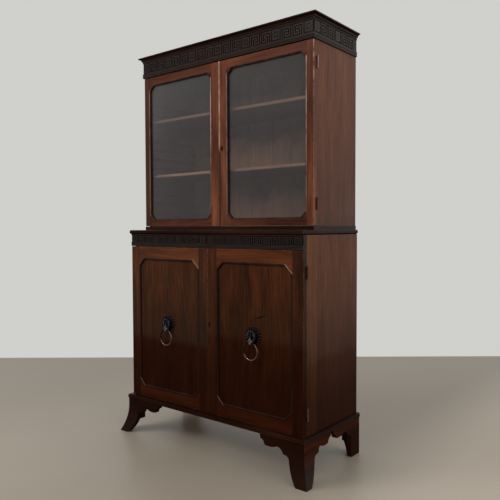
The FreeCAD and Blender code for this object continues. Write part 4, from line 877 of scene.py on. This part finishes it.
def as_object(name, bm, material=None, smooth=True):
    """Ends a bmesh as an object."""
    mesh = as_mesh(name, bm)
    made = in_scene(name, mesh)
    if material:
        mesh.materials.append(material)
    if smooth:
        mesh.shade_smooth()
    return made


def smooth_out(bm, turns, factor):
    """Moves every vertex towards the middle of its neighbours, several times."""
    for turn in range(turns):
        bmesh.ops.smooth_vert(bm, verts=bm.verts, factor=factor, use_axis_x=True, use_axis_y=True, use_axis_z=True)


def with_modifiers_applied(item, name):
    """A plain mesh of what the modifiers make of the item, which is then thrown away."""
    graph = bpy.context.evaluated_depsgraph_get()
    mesh = bpy.data.meshes.new_from_object(item.evaluated_get(graph), depsgraph=graph)
    mesh.name = name
    bpy.data.objects.remove(item)
    return mesh


mask_low, mask_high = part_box("lion_mask_right")
ring_low, ring_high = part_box("pull_ring_right")
MASK_LEVEL = 0.558        # of the mask's middle above the floor
WIRE = (ring_high.y - ring_low.y) / 2 / MM                          # from here in millimetres: radius of the wire
PIVOT_REACH = (mask_high.y - (ring_low.y + ring_high.y) / 2) / MM
MASK_MIDDLE = Vector(((mask_low.x + mask_high.x) / 2, mask_high.y, MASK_LEVEL))
PIVOT_DROP = (MASK_MIDDLE.z - (ring_high.z - WIRE * MM)) / MM
MOUTH, HALF_MOUTH = WIRE + 2.6, 12.5                                # radius of the bore, and half its length
RING = (ring_high.z - ring_low.z) / 2 / MM - WIRE                   # radius of the ring to the wire's middle
VOXEL = 0.5
print("ring wire %.1f mm, pivot %.1f mm forward and %.1f mm down" % (WIRE * 2, PIVOT_REACH, PIVOT_DROP))


def lion_mesh():
    """The finished head: fused, smoothed, flat behind and bored."""
    head = as_object("lion_clay", lion_clay())
    remesh = head.modifiers.new("fuse", "REMESH")
    remesh.mode = "VOXEL"
    remesh.voxel_size = VOXEL
    mesh = with_modifiers_applied(head, "lion_fused")
    bm = bmesh.new()
    bm.from_mesh(mesh)
    smooth_out(bm, 6, 0.5)
    bmesh.ops.bisect_plane(bm, geom=bm.verts[:] + bm.edges[:] + bm.faces[:], plane_co=(0, 0, 0), plane_no=(0, 1, 0),
                           clear_outer=True)
    rim = [edge for edge in bm.edges if edge.is_boundary]
    bmesh.ops.edgeloop_fill(bm, edges=rim)
    bmesh.ops.recalc_face_normals(bm, faces=bm.faces)
    head = as_object("lion_head", bm)
    cutter = bmesh.new()
    bmesh.ops.create_cone(cutter, cap_ends=True, segments=40, radius1=MOUTH, radius2=MOUTH, depth=HALF_MOUTH * 2)
    bmesh.ops.transform(cutter, verts=cutter.verts, matrix=Matrix.Translation((0, -PIVOT_REACH, -PIVOT_DROP))
                        @ Matrix.Rotation(math.pi / 2, 4, "Y"))
    cutter_object = as_object("mouth_cutter", cutter)
    bore = head.modifiers.new("mouth", "BOOLEAN")
    bore.object = cutter_object
    bore.operation = "DIFFERENCE"
    bore.solver = "EXACT"
    mesh = with_modifiers_applied(head, "lion_mask")
    bpy.data.objects.remove(cutter_object)
    return mesh


lion = lion_mesh()
print("lion mask of", len(lion.polygons), "faces")

# %% [markdown]
# ## Where a casting gets rubbed
# Polishing cloths reach the high points only. A Geometry node's Pointiness shows edges as fine as the mesh, not
# which lumps stand proud. Here the places are smoothed until much of the relief is gone: how far a point stands out
# from that is its height. The muzzle, which stands furthest forward, gets more. The result is stored as an attribute,
# which the bronze reads.

# %% Rubbed high points
MUZZLE = 17.0             # the muzzle begins this far forward, in millimetres


def store_rubbed(mesh):
    """Stores from 0 to 1 how far each vertex is rubbed bright."""
    bm = bmesh.new()
    bm.from_mesh(mesh)
    layer = bm.verts.layers.float.new("rubbed")
    places = [vert.co.copy() for vert in bm.verts]
    normals = [vert.normal.copy() for vert in bm.verts]
    smooth_out(bm, 14, 0.8)
    for vert, place, normal in zip(bm.verts, places, normals):
        height = (place - vert.co).dot(normal) * (2.4 if place.y < -MUZZLE else 1.5)
        vert[layer] = max(0.0, min(1.0, 0.06 + height + max(0.0, -place.y - MUZZLE - 3.5) * 0.05))
        vert.co = place
    bm.to_mesh(mesh)
    bm.free()


store_rubbed(lion)
lion.transform(Matrix.Scale(MM, 4))


def finished(name, mesh, material, body):
    """A new piece: its place is in its mesh, and it rides on one body."""
    made = in_scene(name, mesh)
    mesh.materials.clear()
    mesh.materials.append(material)
    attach(made, body)
    return made


for side, hand in (("left", -1), ("right", 1)):
    mesh = lion.copy()
    mesh.transform(Matrix.Translation((hand * MASK_MIDDLE.x, MASK_MIDDLE.y, MASK_MIDDLE.z)))
    mesh.shade_smooth()
    mesh.set_sharp_from_angle(angle=math.radians(50))
    piece = finished("lion_head_" + side, mesh, mask_bronze, "lower_door_" + side)
    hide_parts("lion_mask_" + side)
print("2 lion masks")

# %% [markdown]
# ## Pull rings
# A pull ring is a plain round wire bent to a circle. The construction has it many-sided. The editor's torus would
# do, but it depends on what is selected there; a circle spun round the ring's centre makes the same shape.

# %% Rings
for side, hand in (("left", -1), ("right", 1)):
    low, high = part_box("pull_ring_" + side)
    middle = (low + high) / 2
    bm = bmesh.new()
    section = bmesh.ops.create_circle(bm, segments=18, radius=WIRE * MM)["verts"]
    stand = Matrix.Translation(middle + Vector((0, 0, RING * MM))) @ Matrix.Rotation(math.pi / 2, 4, "Y")
    bmesh.ops.transform(bm, matrix=stand, verts=section)
    bmesh.ops.spin(bm, geom=bm.verts[:] + bm.edges[:], cent=middle, axis=(0, 1, 0), angle=2 * math.pi, steps=72,
                   use_merge=True)
    bmesh.ops.remove_doubles(bm, verts=bm.verts, dist=0.01 * MM)
    bmesh.ops.recalc_face_normals(bm, faces=bm.faces)
    mesh = as_mesh("ring_" + side, bm)
    mesh.shade_smooth()
    ring = finished("ring_" + side, mesh, ring_bronze[side], "pull_ring_" + side)
    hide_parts("pull_ring_" + side)
print("2 rings")

# %% [markdown]
# ## Screws
# Hinge leaves, locks and slide bolts are held by countersunk slotted screws, seen when a door stands open. A slot
# could be cut by Boolean, but a flat cone whose top is cut twice across does without: the strip between the cuts is
# pushed down as the slot.

# %% One screw head
def screw(bm, place, facing, radius, slot_angle):
    """Adds a slotted head at a place, facing -Y or +Y."""
    made = bmesh.ops.create_cone(bm, cap_ends=True, segments=14, radius1=radius, radius2=radius * 0.86,
                                 depth=0.3 * MM)["verts"]
    for shift in (-0.11, 0.11):
        geometry = set(made)
        for vert in made:
            geometry.update(vert.link_edges)
            geometry.update(vert.link_faces)
        cut = bmesh.ops.bisect_plane(bm, geom=list(geometry), plane_co=(shift * radius * 2, 0, 0),
                                     plane_no=(1, 0, 0))["geom_cut"]
        made += [item for item in cut if isinstance(item, bmesh.types.BMVert) and item not in made]
    faces = {face for vert in made for face in vert.link_faces}
    top = [face for face in faces if face.normal.z > 0.9 and abs(face.calc_center_median().x) < 0.05 * radius]
    pushed = bmesh.ops.extrude_face_region(bm, geom=top)["geom"]
    down = [item for item in pushed if isinstance(item, bmesh.types.BMVert)]
    bmesh.ops.delete(bm, geom=top, context="FACES")
    bmesh.ops.translate(bm, verts=down, vec=(0, 0, -0.2 * MM))
    turn = Matrix.Rotation(math.pi / 2 * (1 if facing < 0 else -1), 4, "X") @ Matrix.Rotation(slot_angle, 4, "Z")
    bmesh.ops.transform(bm, matrix=Matrix.Translation(place) @ turn, verts=made + down)


print("screw head ready")

# %% [markdown]
# ## Sets of screws
# Each hinge leaf has three screws, a lock four and a pair of bolt plates eight. They could be instances, but then
# each would be a piece of its own; one set is joined into one piece for every body that carries it. The places follow
# from the boxes of the brass, and each slot ends at another angle, as by hand.

# %% Screws
LEAF_INSET, LOCK_INSET = 8 * MM, 5 * MM     # of the screws from the edge of the case and from the ends of a lock
HALF_LEAF = 25 * MM


def screw_set(name, body, spots, radius):
    """spots holds (x, y, z, facing) of each head."""
    bm = bmesh.new()
    for number, (x, y, z, facing) in enumerate(spots):
        screw(bm, Vector((x, y, z)), facing, radius, 0.7 * number + 0.4)
    return finished(name, as_mesh(name, bm), brass, body)


def leaf_spots(edge, y, levels, hand, facing):
    """Three screws in the leaf of each hinge."""
    return [(edge - hand * LEAF_INSET, y, level + rise * MM, facing) for level in levels for rise in (-17, 0, 17)]


screws = 0
for case, half in HALF_WIDTH.items():
    low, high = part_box(case + "_case_hinge_leaves")
    levels = (low.z + HALF_LEAF, high.z - HALF_LEAF)
    case_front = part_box(case + "_side_right")[0].y
    spots = []
    for side, hand in (("left", -1), ("right", 1)):
        spots += leaf_spots(hand * half, case_front + 0.05 * MM, levels, hand, -1)
        door = case + "_door_" + side
        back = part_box(door + "_frame")[1].y - 0.05 * MM
        on_door = leaf_spots(hand * half, back, levels, hand, 1)
        screw_set(door + "_hinge_screws", door, on_door, 2.4 * MM)
        screws += len(on_door)
    screw_set(case + "_case_hinge_screws", "case", spots, 2.4 * MM)
    lock_low, lock_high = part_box(case + "_lock")
    on_lock = [(x, lock_high.y + 0.1 * MM, z, 1) for x in (lock_high.x - LOCK_INSET, lock_high.x - 30 * MM)
               for z in (lock_low.z + LOCK_INSET, lock_high.z - LOCK_INSET)]
    screw_set(case + "_lock_screws", case + "_door_right", on_lock, 1.9 * MM)
    plate_low, plate_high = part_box(case + "_bolt_plates")
    middle = (plate_low.x + plate_high.x) / 2
    on_plates = [(middle + across * 7.9 * MM, plate_low.y + 1.65 * MM, z, 1) for across in (-1, 1)
                 for z in (plate_low.z + 18 * MM, plate_low.z + 38 * MM, plate_high.z - 18 * MM,
                           plate_high.z - 38 * MM)]
    screw_set(case + "_bolt_screws", case + "_door_left", on_plates, 1.5 * MM)
    screws += len(spots) + len(on_lock) + len(on_plates)
print(screws, "screws")

# %% [markdown]
# ## Camera
# The view is from the front right, a little above the middle of the case, with a slightly long lens. The camera is
# placed by its bearing, dip and tilt, which are easier to read than a matrix.

# %% Camera
camera = in_scene("camera", bpy.data.cameras.new("camera"))
camera.data.sensor_width = 36.0
camera.data.lens = 41.807
bearing, dip, tilt = math.radians(38.832), math.radians(-2.198), math.radians(-0.190)
camera.matrix_world = (Matrix.Translation((1.7508, -2.0628, 1.0069)) @ Matrix.Rotation(bearing, 4, "Z")
                       @ Matrix.Rotation(math.pi / 2 + dip, 4, "X") @ Matrix.Rotation(tilt, 4, "Z"))
bpy.context.scene.camera = camera
print("camera at", tuple(round(value, 3) for value in camera.location))

# %% [markdown]
# ## Floor
# A plain pale floor that ends some way behind the case, where the white of the room begins. It is slightly glossy,
# as a sealed floor is, and keeps the soft shadow. A longer floor would meet the sky at the horizon, too high up, so it
# is cut off where the foot of the wall would be. Its colour drifts as the daylight on it does.

# %% Floor
def floor_finish():
    """A sealed floor, darker at the back and on the left, and lighter on the right."""
    finish = Finish("pale_floor")
    place = finish.place()
    cloud = finish.noise(place, 3.0, 3.0)
    colour = finish.mix(cloud, (0.320, 0.275, 0.220), (0.370, 0.320, 0.260))
    axes = finish.split(place)
    colour = finish.mix(axes[Y].ease(-1.0, 1.4, 0.0, 0.30), colour, (0.150, 0.120, 0.090))
    colour = finish.mix(axes[X].ease(0.45, 0.95), colour, (0.470, 0.405, 0.330))
    colour = finish.mix(axes[X].ease(-0.6, -1.6, 0.0, 0.35), colour, (0.190, 0.155, 0.120))
    return finish.surface(Base_Color=colour, Roughness=cloud * 0.1 + 0.33, Specular_IOR_Level=0.35)


WALL_DISTANCE = 4.49      # from the camera, along its bearing
HALF_SPAN, HALF_DEPTH = 7.0, 4.5
bm = bmesh.new()
bmesh.ops.create_grid(bm, x_segments=2, y_segments=2, size=1.0)
spread = Matrix.Diagonal((HALF_SPAN, HALF_DEPTH, 1.0, 1.0))
ahead = Matrix.Rotation(bearing, 4, "Z") @ Matrix.Translation((0, WALL_DISTANCE - HALF_DEPTH, 0))
under_camera = Matrix.Translation((camera.location.x, camera.location.y, 0))
bmesh.ops.transform(bm, matrix=under_camera @ ahead @ spread, verts=bm.verts)
floor = as_object("floor", bm, floor_finish(), smooth=False)
print("floor ends", WALL_DISTANCE, "m from the camera")

# %% [markdown]
# ## Light
# Soft daylight: an even sky for the general level and one large lamp at the front left, high up, so the upper doors
# are lit more than the feet. A weaker lamp at the far right lifts the side, and a small one gives the metal its
# glints. What polish reflects matters as much. Behind the case is a white wall that meets the floor a little below
# eye level, and before it is a dimmer room, so glossy rays find white only on the far side and above the foot of
# that wall. One white world would lay a grey veil over the dark fronts.

# %% Room light
def room():
    """The world: an even sky for what it lights, a white wall for the camera, a dimmer room for reflections."""
    world = bpy.data.worlds.new("room")
    bpy.context.scene.world = world
    sky = Finish(owner=world)
    seen = sky.node("ShaderNodeLightPath", output="Is Camera Ray")
    through = sky.node("ShaderNodeLightPath", output="Is Transmission Ray")
    glossy = sky.node("ShaderNodeLightPath", output="Is Glossy Ray")
    heading = sky.split(sky.node("ShaderNodeTexCoord", output="Generated"))
    above_floor = heading[Z].ease(-0.22, -0.10)
    behind = heading[Y].ease(-0.25, 0.45) * above_floor
    general = sky.node("ShaderNodeBackground", None, {"Color": (1.0, 0.985, 0.96, 1.0), "Strength": 0.62})
    wall = sky.node("ShaderNodeBackground", None, {"Color": (0.63, 0.63, 0.605, 1.0), "Strength": 1.0})
    dim_room = sky.node("ShaderNodeBackground", None, {"Color": (0.5, 0.48, 0.46, 1.0),
                                                       "Strength": above_floor * 0.36 + 0.04})
    lit = sky.node("ShaderNodeMixShader", None, {0: glossy, 1: general, 2: dim_room})
    mixed = sky.node("ShaderNodeMixShader", None, {0: seen.most(through).most(glossy * behind), 1: lit, 2: wall})
    sky.end(mixed, "ShaderNodeOutputWorld")


def lamp(name, place, towards, side, power, in_reflections):
    """A square lamp with a side in metres and a power in watts."""
    data = bpy.data.lights.new(name, "AREA")
    data.size, data.energy = side, power
    made = in_scene(name, data)
    made.location = place
    made.rotation_euler = (Vector(towards) - Vector(place)).to_track_quat("-Z", "Y").to_euler()
    made.visible_glossy = in_reflections


room()
lamp("window", (-2.3, -2.9, 2.9), (0, 0, 1.3), 1.8, 78, False)
lamp("far_window", (2.8, 0.3, 2.5), (0.4, 0, 1.1), 1.4, 16, False)
lamp("glint", (-1.2, -3.4, 3.2), (0, 0, 0.6), 0.3, 6, True)
floor.visible_glossy = False
bpy.context.scene.view_settings.view_transform = "Standard"
print("3 lamps and the room")
